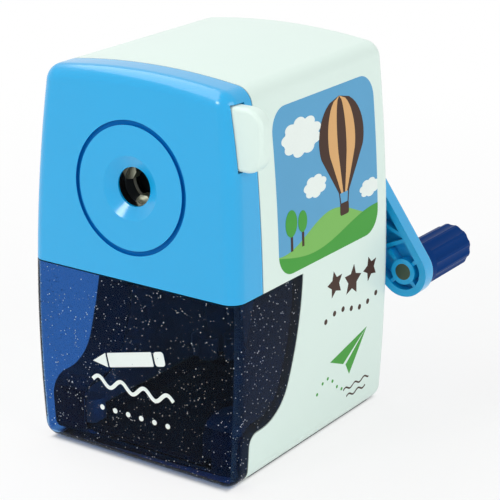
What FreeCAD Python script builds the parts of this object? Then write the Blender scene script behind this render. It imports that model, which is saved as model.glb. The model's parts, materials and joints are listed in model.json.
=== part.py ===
import FreeCAD, Part
import math
import os
import re
from FreeCAD import Placement, Rotation, Vector

# Crank pencil sharpener. Millimetres, +Z up, +X to the right seen from the front, -Y to the front.
# The origin is the middle of the base plate's underside.

SIZES = [
    ("body_width", 67.6, "widest point of the bowed sides"),
    ("body_depth", 77.4, "front face to rear wall"),
    ("drawer_height", 52.5, "seam between the drawer and the face plate"),
    ("axis_above_drawer", 25.0, "crank axis above that seam"),
    ("crown_above_axis", 30.2, "crown of the top at the front, above the crank axis"),
    ("crown_rise", 0.3, "rise of the crown from front to rear"),
    ("crown_radius", 193.0, "crown across the top"),
    ("side_bow_radius", 524.0, "barrel bow of the sides"),
    ("widest_height", 40.1, "height where the sides are widest"),
    ("front_bow_radius", 1150.0, "bow of the front face"),
    ("front_bow_height", 20.5, "height where the front stands furthest out"),
    ("base_lift", 0.4, "shell edge above the table"),
    ("top_radius", 5.0, "corner between sides and top"),
    ("foot_radius", 4.6, "corner between sides and base"),
    ("edge_radius", 4.3, "front and rear edges of the body"),
    ("wall", 2.4, "housing wall"),
    ("seam_gap", 0.35, "open seam between shells"),
    ("plate_depth", 12.4, "face plate, front to seam"),
    ("plate_wall", 1.9, "face plate wall"),
    ("groove_radius", 17.8, "ring groove round the pencil entry"),
    ("groove_width", 1.3, "ring groove width"),
    ("groove_depth", 0.9, "ring groove depth"),
    ("funnel_radius", 8.6, "mouth of the pencil funnel"),
    ("funnel_depth", 1.8, "depth of the pencil funnel"),
    ("entry_radius", 5.25, "pencil entry bore"),
    ("entry_wall", 3.4, "wall of the boss round the entry bore"),
    ("entry_lip", 0.5, "lip between the funnel and the entry liner"),
    ("liner_wall", 0.9, "entry liner"),
    ("chuck_depth", 6.0, "front plane of the chuck behind the front face"),
    ("drawer_reach", 31.0, "drawer side, front to its upper rear corner"),
    ("shoulder_reach", 12.2, "drawer side, front to the start of its lower round"),
    ("shoulder_radius", 12.9, "lower round of the drawer side"),
    ("shoulder_lean", 21.0, "lean of the drawer side where the round ends, degrees"),
    ("plinth_height", 14.9, "housing plinth below the drawer side"),
    ("skirt_depth", 6.9, "drawer skirt in front of the plinth"),
    ("skirt_radius", 3.6, "round between the skirt and the drawer side"),
    ("drawer_wall", 2.0, "drawer wall"),
    ("bin_half_width", 21.5, "half width of the shavings bin"),
    ("bin_rear", 64.0, "rear of the bin behind the front face"),
    ("bin_top", 47.2, "top edge of the bin"),
    ("bin_wall", 1.6, "bin wall"),
    ("base_thickness", 2.0, "base plate"),
    ("base_front", 9.2, "front edge of the base plate behind the front face"),
    ("base_corner", 3.0, "base plate corner radius"),
    ("pad_radius", 5.0, "anti-slip pad"),
    ("pad_depth", 1.0, "anti-slip pad let into the base plate"),
    ("pad_inset", 13.0, "pad centre from the base plate's edges"),
    ("base_screw_height", 0.8, "head height of the base screws"),
    ("base_screw_inset", 4.5, "base screw from the base plate's side edge"),
    ("base_screw_margin", 5.6, "base screw from the base plate's ends"),
    ("screw_radius", 1.2, "shank of the housing screws"),
    ("screw_head", 2.3, "head of the housing screws"),
    ("screw_head_height", 1.4, "head height of the housing screws"),
    ("screw_grip", 5.5, "screw length in its boss"),
    ("drive_width", 0.4, "cross slot, as a share of the shank's radius"),
    ("drive_span", 1.1, "cross slot length, as a share of the head's radius"),
    ("boss_radius", 3.2, "screw bosses and posts"),
    ("boss_height", 7.0, "base screw boss"),
    ("bulkhead_depth", 21.0, "bulkhead front behind the front face"),
    ("bulkhead_thickness", 4.0, "bulkhead"),
    ("bulkhead_bottom", 1.4, "bulkhead edge above the drawer seam"),
    ("upper_post_inset", 13.8, "upper posts from the widest side"),
    ("upper_post_rise", 21.2, "upper posts above the crank axis"),
    ("lower_post_inset", 7.8, "lower posts from the widest side"),
    ("lower_post_drop", 6.8, "lower posts below the crank axis"),
    ("ring_teeth", 36, "teeth of the fixed ring gear"),
    ("pinion_teeth", 12, "teeth of the cutter pinion"),
    ("ring_depth", 19.0, "ring gear front behind the front face"),
    ("ring_length", 6.0, "ring gear length"),
    ("ring_rim", 2.2, "ring gear rim outside its teeth"),
    ("ring_lip", 1.5, "ring gear lip"),
    ("tooth_addendum", 0.75, "tooth above its pitch line, in modules"),
    ("tooth_dedendum", 1.15, "tooth below its pitch line, in modules"),
    ("flank_angle", 20.0, "slope of the tooth flanks, degrees"),
    ("mesh_play", 0.22, "backlash on each tooth flank"),
    ("pinion_setback", 2.5, "pinion front behind the ring gear front, along the cutter axis"),
    ("pinion_length", 4.2, "cutter pinion"),
    ("cutter_tilt", 10.0, "cutter axis to the crank axis, degrees"),
    ("cutter_radius", 5.5, "helical cutter"),
    ("cutter_core", 4.35, "root of the cutting edges"),
    ("cutter_edges", 12, "cutting edges"),
    ("cutter_twist", 75.0, "turn of an edge from end to end, degrees"),
    ("edge_land", 0.22, "top of a cutting edge, as a share of half its pitch"),
    ("edge_foot", 0.85, "foot of a cutting edge, as a share of half its pitch"),
    ("cutter_overrun", 1.0, "cutter beyond the pencil point"),
    ("tip_depth", 26.4, "pencil point in front of the rear face"),
    ("axle_radius", 1.6, "cutter axle"),
    ("axle_seat", 2.4, "cutter axle in the carrier yoke"),
    ("axle_recess", 0.4, "cutter axle end below the carrier nose's face"),
    ("running_play", 0.05, "running clearance on a radius"),
    ("seat_play", 0.02, "clearance of a pressed or screwed seat"),
    ("part_play", 0.25, "clearance between sliding pieces"),
    ("nose_depth", 16.0, "carrier nose behind the front face"),
    ("nose_thickness", 2.6, "carrier nose disc"),
    ("nose_radius", 15.6, "carrier nose disc"),
    ("guide_radius", 4.4, "pencil guide in the carrier nose"),
    ("yoke_radius", 11.8, "carrier yoke plate"),
    ("yoke_thickness", 4.0, "carrier yoke plate"),
    ("yoke_depth", 2.0, "carrier yoke behind the pencil point"),
    ("bar_inside", 6.7, "carrier bars from the crank axis"),
    ("bar_thickness", 2.9, "carrier bars"),
    ("bar_height", 9.0, "carrier bars"),
    ("hub_length", 5.0, "shaft hub behind the carrier yoke"),
    ("hub_radius", 6.6, "shaft hub behind the carrier yoke"),
    ("shaft_radius", 4.0, "crank shaft"),
    ("shaft_flat", 3.1, "flats on the shaft end from its axis"),
    ("bush_wall", 1.5, "rear shaft bush"),
    ("bush_flange", 7.4, "bush flange radius"),
    ("flange_thickness", 1.1, "bush flange"),
    ("bush_boss_length", 7.0, "boss inside the rear wall"),
    ("washer_thickness", 0.6, "crank washer"),
    ("washer_radius", 6.8, "crank washer"),
    ("crank_throw", 53.0, "shaft to handle pin"),
    ("crank_angle", 46.65, "crank below the horizontal at rest, degrees"),
    ("crank_gap", 2.2, "rear wall to the crank arm"),
    ("arm_thickness", 5.0, "crank arm"),
    ("arm_floor", 1.5, "crank arm outer face"),
    ("arm_rim", 2.1, "crank arm rim"),
    ("arm_round", 0.9, "outer edge of the crank arm"),
    ("arm_hub_radius", 14.9, "crank arm round its shaft"),
    ("arm_end_radius", 7.45, "crank arm round its handle pin"),
    ("arm_boss_radius", 9.0, "hub boss of the crank arm"),
    ("pin_boss_radius", 3.8, "boss round the handle pin"),
    ("rib_thickness", 1.1, "lattice ribs"),
    ("rib_drop", 0.5, "ribs below the arm's rim"),
    ("rib_bays", 3, "rib pairs, each from one point of the rim"),
    ("rib_first", 6.4, "first of those points from the handle pin, along the arm"),
    ("rib_pitch", 12.0, "those points apart, along the arm"),
    ("strut_angle", 71.0, "steep rib of a pair to the length of the arm, degrees"),
    ("brace_angle", 25.0, "flat rib of a pair to the length of the arm, degrees"),
    ("crank_screw_radius", 1.5, "crank screw"),
    ("crank_screw_head", 3.9, "crank screw head"),
    ("crank_screw_height", 2.0, "crank screw head"),
    ("crank_screw_grip", 9.0, "crank screw in the shaft"),
    ("pin_radius", 2.4, "handle pin"),
    ("pin_head_radius", 4.2, "handle pin head"),
    ("pin_head_height", 1.6, "handle pin head"),
    ("knob_radius", 6.6, "knob at the arm"),
    ("knob_end_radius", 6.5, "knob at its end"),
    ("knob_length", 23.7, "knob"),
    ("knob_gap", 0.35, "knob to crank arm"),
    ("knob_round", 0.4, "knob end edges"),
    ("knob_cap_depth", 3.6, "end cap recess of the knob"),
    ("knob_cap_thickness", 1.4, "end cap"),
    ("flutes", 12, "scallops round the knob"),
    ("flute_radius", 3.2, "scallop"),
    ("flute_depth", 0.5, "scallop"),
    ("flute_start", 3.0, "plain collar of the knob at the arm"),
    ("rod_radius", 2.0, "guide rods"),
    ("rod_inset", 9.3, "rods from the widest side"),
    ("rod_drop", 16.8, "rods below the crank axis"),
    ("rod_margin", 5.0, "rod ends from the rear wall"),
    ("rod_boss", 4.0, "rod boss on the face plate"),
    ("rod_boss_depth", 12.0, "rod boss end behind the front face"),
    ("rod_seat_depth", 4.4, "rod front end behind the front face"),
    ("rod_bush_radius", 3.4, "guide bush"),
    ("rod_bush_flange", 4.4, "guide bush flange"),
    ("rod_bush_length", 7.0, "guide bush"),
    ("clip_radius", 4.2, "rod clip"),
    ("clip_thickness", 1.6, "rod clip"),
    ("clip_margin", 1.4, "rod beyond its clip"),
    ("feed_wire", 0.6, "feed spring wire"),
    ("feed_radius", 2.9, "feed spring, middle of the wire"),
    ("feed_turns", 13, "feed spring turns"),
    ("jaw_gap", 3.3, "closed jaws from the axis"),
    ("jaw_length", 8.9, "jaw"),
    ("jaw_width", 5.0, "jaw"),
    ("jaw_thickness", 2.8, "jaw"),
    ("jaw_tip", 2.2, "jaw tip width"),
    ("jaw_play", 0.1, "jaw in its channel"),
    ("jaw_travel", 2.2, "radial travel of the jaws"),
    ("jaw_pin_radius", 1.1, "pin of a jaw"),
    ("jaw_pin_reach", 9.8, "jaw pin from the axis, closed"),
    ("chuck_radius", 12.8, "chuck body"),
    ("chuck_thickness", 4.0, "chuck body"),
    ("chuck_bore", 5.6, "chuck bore"),
    ("ear_reach", 18.5, "chuck screws from the axis"),
    ("ear_radius", 2.8, "chuck ears"),
    ("chuck_screw", 1.0, "chuck screw shank"),
    ("chuck_screw_head", 1.9, "chuck screw head"),
    ("chuck_screw_height", 1.1, "chuck screw head"),
    ("chuck_screw_grip", 2.2, "chuck screw in its post"),
    ("cam_outer", 14.2, "cam ring"),
    ("cam_inner", 6.2, "cam ring"),
    ("cam_thickness", 1.6, "cam ring"),
    ("cam_gap", 0.2, "cam ring to its neighbours"),
    ("cam_arm_half", 1.9, "half width of the arm that carries the cam peg"),
    ("cam_arm_end", 1.8, "end of that arm beyond the peg's middle"),
    ("cam_overrun", 0.06, "cam slots beyond the jaw travel, as a share of it"),
    ("peg_reach", 17.0, "cam peg from the axis"),
    ("peg_radius", 1.2, "cam peg"),
    ("cover_thickness", 1.0, "chuck cover"),
    ("button_travel", 5.0, "press of the clamp button"),
    ("button_front", 4.9, "front of the clamp button behind the front face"),
    ("button_depth", 4.4, "clamp button, front to rear"),
    ("button_reach", 38.5, "outer edge of the clamp button from the axis"),
    ("button_bottom", 8.75, "lower edge of the clamp button above the axis"),
    ("button_height", 16.45, "clamp button"),
    ("button_round", 5.2, "outer corners of the clamp button"),
    ("button_edge", 1.2, "edge rounding of the clamp button"),
    ("slider_bottom", 15.0, "button slider above the axis"),
    ("slider_height", 6.4, "button slider"),
    ("slider_end", 6.0, "inner end of the slider left of the axis"),
    ("slider_thickness", 3.6, "button slider"),
    ("button_spring_length", 12.0, "button spring"),
    ("button_wire", 0.5, "button spring wire"),
    ("button_spring_radius", 1.9, "button spring, middle of the wire"),
    ("button_spring_turns", 7, "button spring turns"),
]

doc = FreeCAD.newDocument("crank_pencil_sharpener")
sheet = doc.addObject("Spreadsheet::Sheet", "Sizes")
for row, (alias, amount, meaning) in enumerate(SIZES, start=1):
    sheet.set(f"A{row}", meaning)
    sheet.set(f"B{row}", str(amount))
    sheet.setAlias(f"B{row}", alias)
doc.recompute()
ALIASES = {alias for alias, amount, meaning in SIZES}
nodes = []

# Places that several pieces share, as expressions on the sheet.
FRONT = "(0 - body_depth / 2)"
REAR = "(body_depth / 2)"
AXIS = "(drawer_height + axis_above_drawer)"
CROWN = f"({AXIS} + crown_above_axis)"
HALF = "(body_width / 2)"
SEAM = f"({FRONT} + plate_depth + seam_gap)"
CHUCK = f"({FRONT} + chuck_depth)"
JAW = f"({CHUCK} + chuck_thickness - jaw_thickness)"
CAM = f"({CHUCK} + chuck_thickness + cam_gap)"
COVER = f"({CAM} + cam_thickness + cam_gap)"
BULKHEAD = f"({FRONT} + bulkhead_depth)"
BULKHEAD_REAR = f"({BULKHEAD} + bulkhead_thickness)"
ROD_X = f"({HALF} - rod_inset)"
ROD_Z = f"({AXIS} - rod_drop)"
ROD_END = f"({REAR} - rod_margin)"
CLIP = f"({ROD_END} - clip_margin - clip_thickness)"
ROD_BUSH = f"({BULKHEAD} - flange_thickness)"
TIP = f"({REAR} - tip_depth)"
APEX = f"({TIP} + cutter_radius / sin(cutter_tilt))"
YOKE = f"({TIP} + yoke_depth)"
ARM = f"({REAR} + crank_gap)"
ARM_REAR = f"({ARM} + arm_thickness)"
WASHER = f"({REAR} + flange_thickness)"
KNOB = f"({ARM_REAR} + knob_gap)"
PIN_X = "(crank_throw * cos(crank_angle))"
PIN_Z = f"({AXIS} - crank_throw * sin(crank_angle))"
BASE_HALF = f"({HALF} - widest_height ^ 2 / (2 * side_bow_radius) - wall - part_play)"
BASE_FRONT = f"({FRONT} + base_front)"
BASE_REAR = f"({REAR} - wall - part_play)"
FACE = f"({FRONT} + ({AXIS} - front_bow_height) ^ 2 / (2 * front_bow_radius))"
LINER = f"({FACE} + funnel_depth + entry_lip)"
LEAN = f"atan(({AXIS} - front_bow_height) / front_bow_radius)"
PEG_LEAN = "asin(button_travel / 2 / peg_reach)"
PEG_Z = f"({AXIS} + peg_reach * cos({PEG_LEAN}))"
SLIDER_LOW = f"({AXIS} + slider_bottom)"
SLIDER_TOP = f"({SLIDER_LOW} + slider_height)"
BUTTON = f"({FRONT} + button_front)"
BUTTON_REAR = f"({BUTTON} + button_depth)"
BUTTON_STOP = "(0 - slider_end - button_spring_length)"

EAR_ANGLES = (5, 175, -50, -130)
JAW_ANGLES = (-90, 30, 150)
SIDES = ("", "0 - ")
CUTTER_SECTIONS = 9
BEVEL = 45
MOSTLY = 0.9

TURN = {
    "X": Rotation(Vector(0, 1, 0), 90),
    "-X": Rotation(Vector(0, -1, 0), 90),
    "Y": Rotation(Vector(-1, 0, 0), 90),
    "-Y": Rotation(Vector(1, 0, 0), 90),
    "Z": Rotation(),
    "-Z": Rotation(Vector(1, 0, 0), 180),
}


def bound(text):
    """Expression in which every size refers to its cell."""
    return re.sub(r"[a-z_]+", lambda word: f"Sizes.{word[0]}" if word[0] in ALIASES else word[0], str(text))


def number(text):
    """Value of an expression on the sheet."""
    result = sheet.evalExpression(bound(text))
    return float(getattr(result, "Value", result))


def point(x, y, z):
    """Vector of three expressions."""
    return Vector(number(x), number(y), number(z))


def bind(thing, **sizes):
    """Tie properties of an object to expressions."""
    for name, text in sizes.items():
        thing.setExpression(name.replace("__", "."), bound(text))
    return thing


def place(thing, at, turn=Rotation()):
    """Turn an object and tie its position to expressions."""
    thing.Placement = Placement(Vector(), turn)
    return bind(thing, Placement__Base__x=at[0], Placement__Base__y=at[1], Placement__Base__z=at[2])


def box(at, size, turn=Rotation()):
    """Box from its lowest corner and its three sizes."""
    solid = doc.addObject("Part::Box", "box")
    bind(solid, Length=size[0], Width=size[1], Height=size[2])
    return place(solid, at, turn)


def span(low, high):
    """Box between two corners."""
    return box(low, [f"({b}) - ({a})" for a, b in zip(low, high)])


def rod(at, radius, length, along="Y"):
    """Cylinder from the middle of its first end."""
    solid = doc.addObject("Part::Cylinder", "cylinder")
    bind(solid, Radius=radius, Height=length)
    return place(solid, at, TURN[along] if isinstance(along, str) else along)


def taper(at, first, last, length, along="Y"):
    """Cone from the middle of its first end."""
    solid = doc.addObject("Part::Cone", "cone")
    bind(solid, Radius1=first, Radius2=last, Height=length)
    return place(solid, at, TURN[along])


def several(kind, things):
    """Fuse or common of several objects."""
    solid = doc.addObject(kind, "joined")
    solid.Shapes = list(things)
    return solid


def fuse(*things):
    """One solid of several that meet."""
    return several("Part::MultiFuse", things)


def common(*things):
    """What several solids share."""
    return several("Part::MultiCommon", things)


def group(*things):
    """Separate solids in one object."""
    together = doc.addObject("Part::Compound", "group")
    together.Links = list(things)
    return together


def cut(base, *tools):
    """A solid less its tools."""
    solid = doc.addObject("Part::Cut", "cut")
    solid.Base = base
    solid.Tool = tools[0] if len(tools) == 1 else group(*tools)
    return solid


def rounded(base, radius, wanted):
    """Round the edges that the test picks."""
    doc.recompute()
    solid = doc.addObject("Part::Fillet", "rounded")
    solid.Base = base
    size = number(radius)
    solid.Edges = [(i, size, size) for i, edge in enumerate(base.Shape.Edges, start=1) if wanted(edge)]
    return solid


def shaped(shape):
    """Object for a shape that features can't give."""
    thing = doc.addObject("Part::Feature", "shape")
    thing.Shape = shape
    return thing


def node(name, thing):
    """Name a finished sub-part."""
    thing.Label = name
    nodes.append(thing)
    return thing


def runs_along(edge, axis):
    """Whether an edge's ends differ mostly along one axis."""
    if len(edge.Vertexes) < 2:
        return False
    step = edge.Vertexes[1].Point - edge.Vertexes[0].Point
    return abs(step[axis]) > MOSTLY * step.Length


def body_form(inset, front, rear, bottom):
    """Barrel-shaped body, inset all round, between two depths."""
    reach = "(side_bow_radius - body_width / 2)"
    long = "(body_depth * 2)"
    slope = "(crown_rise / body_depth)"
    crown = rod(("0", f"{FRONT} * 2", f"{CROWN} - crown_radius + {FRONT} * {slope}"),
                f"crown_radius - {inset}", long, Rotation(Vector(-1, 0, 0), 90))
    bind(crown, Placement__Rotation__Angle=f"90 deg - atan({slope})")
    sides = [rod((f"{side} * {reach}", f"{FRONT} * 2", "widest_height"), f"side_bow_radius - {inset}", long)
             for side in ("(0 - 1)", "1")]
    bow = rod((f"0 - {HALF} * 2", f"{FRONT} + front_bow_radius", "front_bow_height"),
              f"front_bow_radius - {inset}", "body_width * 2", "X")
    block = span((f"0 - {HALF}", front, bottom), (HALF, rear, f"{CROWN} + crown_above_axis"))
    return common(block, crown, bow, *sides)


def soften(form, top, edge, foot):
    """Round the long corners of a body form, then its front and rear edges."""
    middle = number(AXIS) / 2
    form = rounded(form, top, lambda e: runs_along(e, 1) and e.CenterOfMass.z > middle)
    if foot:
        form = rounded(form, foot, lambda e: runs_along(e, 1) and e.CenterOfMass.z < middle)
    near = number(f"{REAR} - edge_radius * 2")
    return rounded(form, edge, lambda e: abs(e.CenterOfMass.y) > near and not runs_along(e, 1))


def drawer_outline(top):
    """Side outline of the drawer in the YZ plane, up to a given height."""
    front = number(FRONT)
    plinth = number("plinth_height")
    radius = number("shoulder_radius")
    lean = math.radians(number("shoulder_lean"))
    start = Vector(0, front + number("shoulder_reach"), plinth)
    centre = start + Vector(0, 0, radius)

    def on_round(angle):
        """Point of the lower round, by its angle below the horizontal."""
        return centre + Vector(0, math.cos(angle), -math.sin(angle)) * radius

    turn = on_round(lean)
    corner = point(0, f"{FRONT} + drawer_reach", "drawer_height - seam_gap")
    tangent = Vector(0, math.sin(lean), math.cos(lean))
    chord = corner - turn
    half = tangent.getAngle(chord) / 2
    middle = turn + (tangent + chord.normalize()).normalize() * ((corner - turn).Length / (2 * math.cos(half)))
    skirt = front + number("skirt_depth")
    small = number("skirt_radius")
    bend = Vector(0, skirt + small * (1 - math.sqrt(0.5)), plinth - small * (1 - math.sqrt(0.5)))
    below = -number("plinth_height")
    ahead = front - number("drawer_reach")
    path = [
        Part.LineSegment(Vector(0, ahead, below), Vector(0, skirt, below)),
        Part.LineSegment(Vector(0, skirt, below), Vector(0, skirt, plinth - small)),
        Part.Arc(Vector(0, skirt, plinth - small), bend, Vector(0, skirt + small, plinth)),
        Part.LineSegment(Vector(0, skirt + small, plinth), start),
        Part.Arc(start, on_round((lean + math.pi / 2) / 2), turn),
        Part.Arc(turn, middle, corner),
        Part.LineSegment(Vector(0, corner.y, top), Vector(0, ahead, top)),
        Part.LineSegment(Vector(0, ahead, top), Vector(0, ahead, below)),
    ]
    if top > corner.z:
        path.insert(-2, Part.LineSegment(corner, Vector(0, corner.y, top)))
    return Part.Wire([piece.toShape() for piece in path])


def drawer_zone(top, offset):
    """Solid across the whole width inside the drawer's side outline."""
    wire = drawer_outline(top)
    if offset:
        wire = wire.makeOffset2D(offset)
    width = number("body_width") * 2
    solid = Part.Face(wire).extrude(Vector(width, 0, 0))
    solid.translate(Vector(-width / 2, 0, 0))
    return shaped(solid)


def screw(at, along, radius, head, height, grip):
    """Pan-head screw with a cross slot, its head seated at a point."""
    back = f"-{along}".replace("--", "")
    sign = "-" if back.startswith("-") else "+"
    axis = "XYZ".index(along[-1])
    across = [other for other in range(3) if other != axis]
    face = list(at)
    face[axis] = f"{at[axis]} {sign} {height}"
    blades = []
    for narrow in across:
        size = [f"({head} * drive_span)"] * 3
        size[axis] = height
        size[narrow] = f"({radius} * drive_width)"
        blades.append(box([f"{middle} - {width} / 2" for middle, width in zip(face, size)], size))
    return cut(fuse(rod(at, radius, grip, along), rod(at, head, height, back)), *blades)


def coil(start, along, radius, wire, length, turns):
    """Closed-section coil spring from a start point along +X or +Y."""
    rise = length - wire
    path = Part.makeHelix(rise / turns, rise, radius)
    ring = Part.Wire([Part.makeCircle(wire / 2, Vector(radius, 0, 0), Vector(0, 1, 0))])
    thing = shaped(Part.Wire(path.Edges).makePipeShell([ring], True, True))
    thing.Placement = Placement(start + TURN[along].multVec(Vector(0, 0, wire / 2)), TURN[along])
    return thing


def housing():
    """White shell with its rear wall, posts and screw bosses."""
    outer = soften(body_form("0", f"{FRONT} - front_bow_radius", REAR, "base_lift"),
                   "top_radius", "edge_radius", "foot_radius")
    shell = common(outer, span((f"0 - {HALF}", SEAM, "0"), (HALF, REAR, f"{CROWN} + crown_above_axis")))
    plinths = common(outer, span((f"0 - {HALF}", f"{FRONT} + skirt_depth", "0"),
                                 (HALF, f"{FRONT} + drawer_reach", "plinth_height + seam_gap")))
    room = body_form("wall", f"{FRONT} - front_bow_radius", f"{REAR} - wall", "0 - wall")
    middle = number(AXIS) / 2
    room = rounded(room, "top_radius - wall", lambda e: runs_along(e, 1) and e.CenterOfMass.z > middle)
    opening = drawer_zone(number("drawer_height - seam_gap"), number("seam_gap"))
    shell = cut(fuse(shell, plinths), room, opening)
    posts = [rod((x, BULKHEAD_REAR, z), "boss_radius", f"{REAR} - wall / 2 - {BULKHEAD_REAR}")
             for x, z in post_places()]
    boss = rod(("0", f"{REAR} - wall - bush_boss_length", AXIS), "shaft_radius + bush_wall + wall",
               "bush_boss_length + wall / 2")
    lugs = []
    web = f"({BASE_HALF} + wall / 2)"
    for x, y in base_screw_places():
        low, high = (f"0 - {web}", x) if x.startswith("0 - ") else (x, web)
        lugs.append(rod((x, y, "base_thickness"), "boss_radius", "boss_height", "Z"))
        lugs.append(span((low, f"{y} - boss_radius / 2", "base_thickness"),
                         (high, f"{y} + boss_radius / 2", "base_thickness + boss_height")))
    holes = [rod(("0", f"{REAR} - body_depth / 4", AXIS), "shaft_radius + bush_wall + seat_play", "body_depth")]
    holes += [rod((x, BULKHEAD_REAR, z), "screw_radius + seat_play", "screw_grip + wall")
              for x, z in post_places()]
    holes += [rod((x, y, "0"), "screw_radius + seat_play", "base_thickness + screw_grip + seat_play", "Z")
              for x, y in base_screw_places()]
    node("housing_shell", cut(fuse(shell, boss, *posts, *lugs), *holes))
    return outer


def post_places():
    """Middles of the four posts that carry the bulkhead."""
    upper = (f"({HALF} - upper_post_inset)", f"({AXIS} + upper_post_rise)")
    lower = (f"({HALF} - lower_post_inset)", f"({AXIS} - lower_post_drop)")
    return [(f"{sign}{x}", z) for x, z in (upper, lower) for sign in SIDES]


def base_screw_places():
    """Middles of the four base screws."""
    x = f"({BASE_HALF} - base_screw_inset)"
    ends = (f"({BASE_FRONT} + base_screw_margin)", f"({BASE_REAR} - base_screw_margin)")
    return [(f"{sign}{x}", y) for y in ends for sign in SIDES]


def base():
    """Base plate, its anti-slip pads and screws."""
    plate = span((f"0 - {BASE_HALF}", BASE_FRONT, "0"), (BASE_HALF, BASE_REAR, "base_thickness"))
    plate = rounded(plate, "base_corner", lambda e: runs_along(e, 2))
    seats = []
    pads = []
    for sign in SIDES:
        for y in (f"{BASE_FRONT} + pad_inset", f"{BASE_REAR} - pad_inset"):
            middle = (f"{sign}({BASE_HALF} - pad_inset)", y, "0")
            pads.append(rod(middle, "pad_radius", "pad_depth", "Z"))
            seats.append(rod(middle, "pad_radius + seat_play", "pad_depth", "Z"))
    screws = []
    for x, y in base_screw_places():
        seats.append(rod((x, y, "0"), "screw_head + part_play", "base_thickness / 2", "Z"))
        seats.append(rod((x, y, "0"), "screw_radius + part_play", "base_thickness", "Z"))
        screws.append(screw((x, y, "base_thickness / 2"), "Z", "screw_radius", "screw_head",
                            "base_screw_height", "base_thickness / 2 + screw_grip"))
    node("base_plate", cut(plate, *seats))
    node("anti_slip_pads", group(*pads))
    node("base_screws", group(*screws))


def bulkhead():
    """Bulkhead with its guide bushes and screws."""
    form = body_form("(wall + part_play)", BULKHEAD, BULKHEAD_REAR, "drawer_height + bulkhead_bottom")
    middle = number(AXIS)
    form = rounded(form, "top_radius - wall", lambda e: runs_along(e, 1) and e.CenterOfMass.z > middle)
    holes = [rod(("0", BULKHEAD, AXIS), f"{RING_OUTER} + seat_play", "bulkhead_thickness")]
    screws = []
    bushes = []
    for x, z in post_places():
        holes.append(rod((x, BULKHEAD, z), "screw_radius + seat_play", "bulkhead_thickness"))
        screws.append(screw((x, BULKHEAD, z), "Y", "screw_radius", "screw_head", "screw_head_height",
                            "bulkhead_thickness + screw_grip"))
    for sign in SIDES:
        x = f"{sign}{ROD_X}"
        holes.append(rod((x, BULKHEAD, ROD_Z), "rod_bush_radius + seat_play", "bulkhead_thickness"))
        flange = rod((x, ROD_BUSH, ROD_Z), "rod_bush_flange", "flange_thickness")
        sleeve = rod((x, BULKHEAD, ROD_Z), "rod_bush_radius", "rod_bush_length - flange_thickness")
        bore = rod((x, ROD_BUSH, ROD_Z), "rod_radius + running_play", "rod_bush_length")
        bushes.append(cut(fuse(flange, sleeve), bore))
    node("bulkhead", cut(form, *holes))
    node("bulkhead_screws", group(*screws))
    node("guide_bushes", group(*bushes))


# Bevel mesh: both gears share the apex where the cutter axis meets the crank axis.
GEAR_RATIO = "(ring_teeth / pinion_teeth)"
PINION_CONE = f"atan(sin(cutter_tilt) / ({GEAR_RATIO} - cos(cutter_tilt)))"
RING_CONE = f"({PINION_CONE} + cutter_tilt * 1 deg)"
RING_PITCH = f"(({APEX} - {FRONT} - ring_depth) * tan({RING_CONE}))"
MODULE = f"(2 * {RING_PITCH} / ring_teeth)"
RING_OUTER = f"({RING_PITCH} + {MODULE} * tooth_dedendum + ring_rim)"


def toothed_wire(teeth, tip, root, tip_half, root_half, height, scale, offset):
    """Closed outline of straight-flanked teeth round the Z axis at a height."""
    corners = []
    for tooth in range(teeth):
        middle = 2 * math.pi * tooth / teeth + offset
        for radius, angle in ((root, -root_half), (tip, -tip_half), (tip, tip_half), (root, root_half)):
            turn = middle + angle
            corners.append(Vector(math.cos(turn), math.sin(turn), 0) * (radius * scale) + Vector(0, 0, height))
    return Part.makePolygon(corners + corners[:1])


def gears():
    """Fixed ring gear and the pinion that rolls inside it."""
    module = number(MODULE)
    play = number("mesh_play")
    ring_teeth = int(number("ring_teeth"))
    pinion_teeth = int(number("pinion_teeth"))
    apex = point("0", APEX, AXIS)
    pitch = number(RING_PITCH)
    near = number(f"{APEX} - {FRONT} - ring_depth")
    far = near - number("ring_length")
    addendum = number("tooth_addendum") * module
    dedendum = number("tooth_dedendum") * module
    quarter = math.pi * module / 4
    slope = math.tan(math.radians(number("flank_angle")))
    # Spaces of the ring, cut by a toothed core that is wider than the pinion's teeth.
    top, foot = pitch + dedendum, pitch - addendum
    core = [toothed_wire(ring_teeth, top, foot, (quarter - dedendum * slope) / top,
                         (quarter + addendum * slope) / foot, height, height / near, math.pi / 2)
            for height in (near + module, far - module)]
    core = Part.makeLoft(core, True, True)
    outer = number(RING_OUTER)
    lip = number("ring_lip")
    blank = Part.makeCylinder(outer, near - far, Vector(0, 0, far))
    ahead = number("bulkhead_depth - ring_depth")
    blank = blank.fuse(Part.makeCylinder(outer + lip, ahead, Vector(0, 0, near - ahead)))
    ring = shaped(blank.cut(core).removeSplitter())
    ring.Placement = Placement(apex, Rotation(Vector(1, 0, 0), 90))
    node("ring_gear", ring)
    cone = math.radians(number(PINION_CONE))
    slant = near / math.cos(math.radians(number(RING_CONE)))
    rolling = slant * math.sin(cone)
    height = slant * math.cos(cone)
    front = height - number("pinion_setback")
    tip, root = rolling + addendum, rolling - dedendum
    sections = [toothed_wire(pinion_teeth, tip, root, max(quarter - addendum * slope - play, play) / tip,
                             (quarter + dedendum * slope - play) / root, level, level / height, math.pi / 2)
                for level in (front, front - number("pinion_length"))]
    bore = Part.makeCylinder(number("axle_radius + running_play"), height * 2)
    pinion = shaped(Part.makeLoft(sections, True, True).cut(bore))
    pinion.Placement = Placement(apex, Rotation(Vector(1, 0, 0), 90 - number("cutter_tilt")))
    node("cutter_pinion", pinion)
    return front - number("pinion_length")


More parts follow.
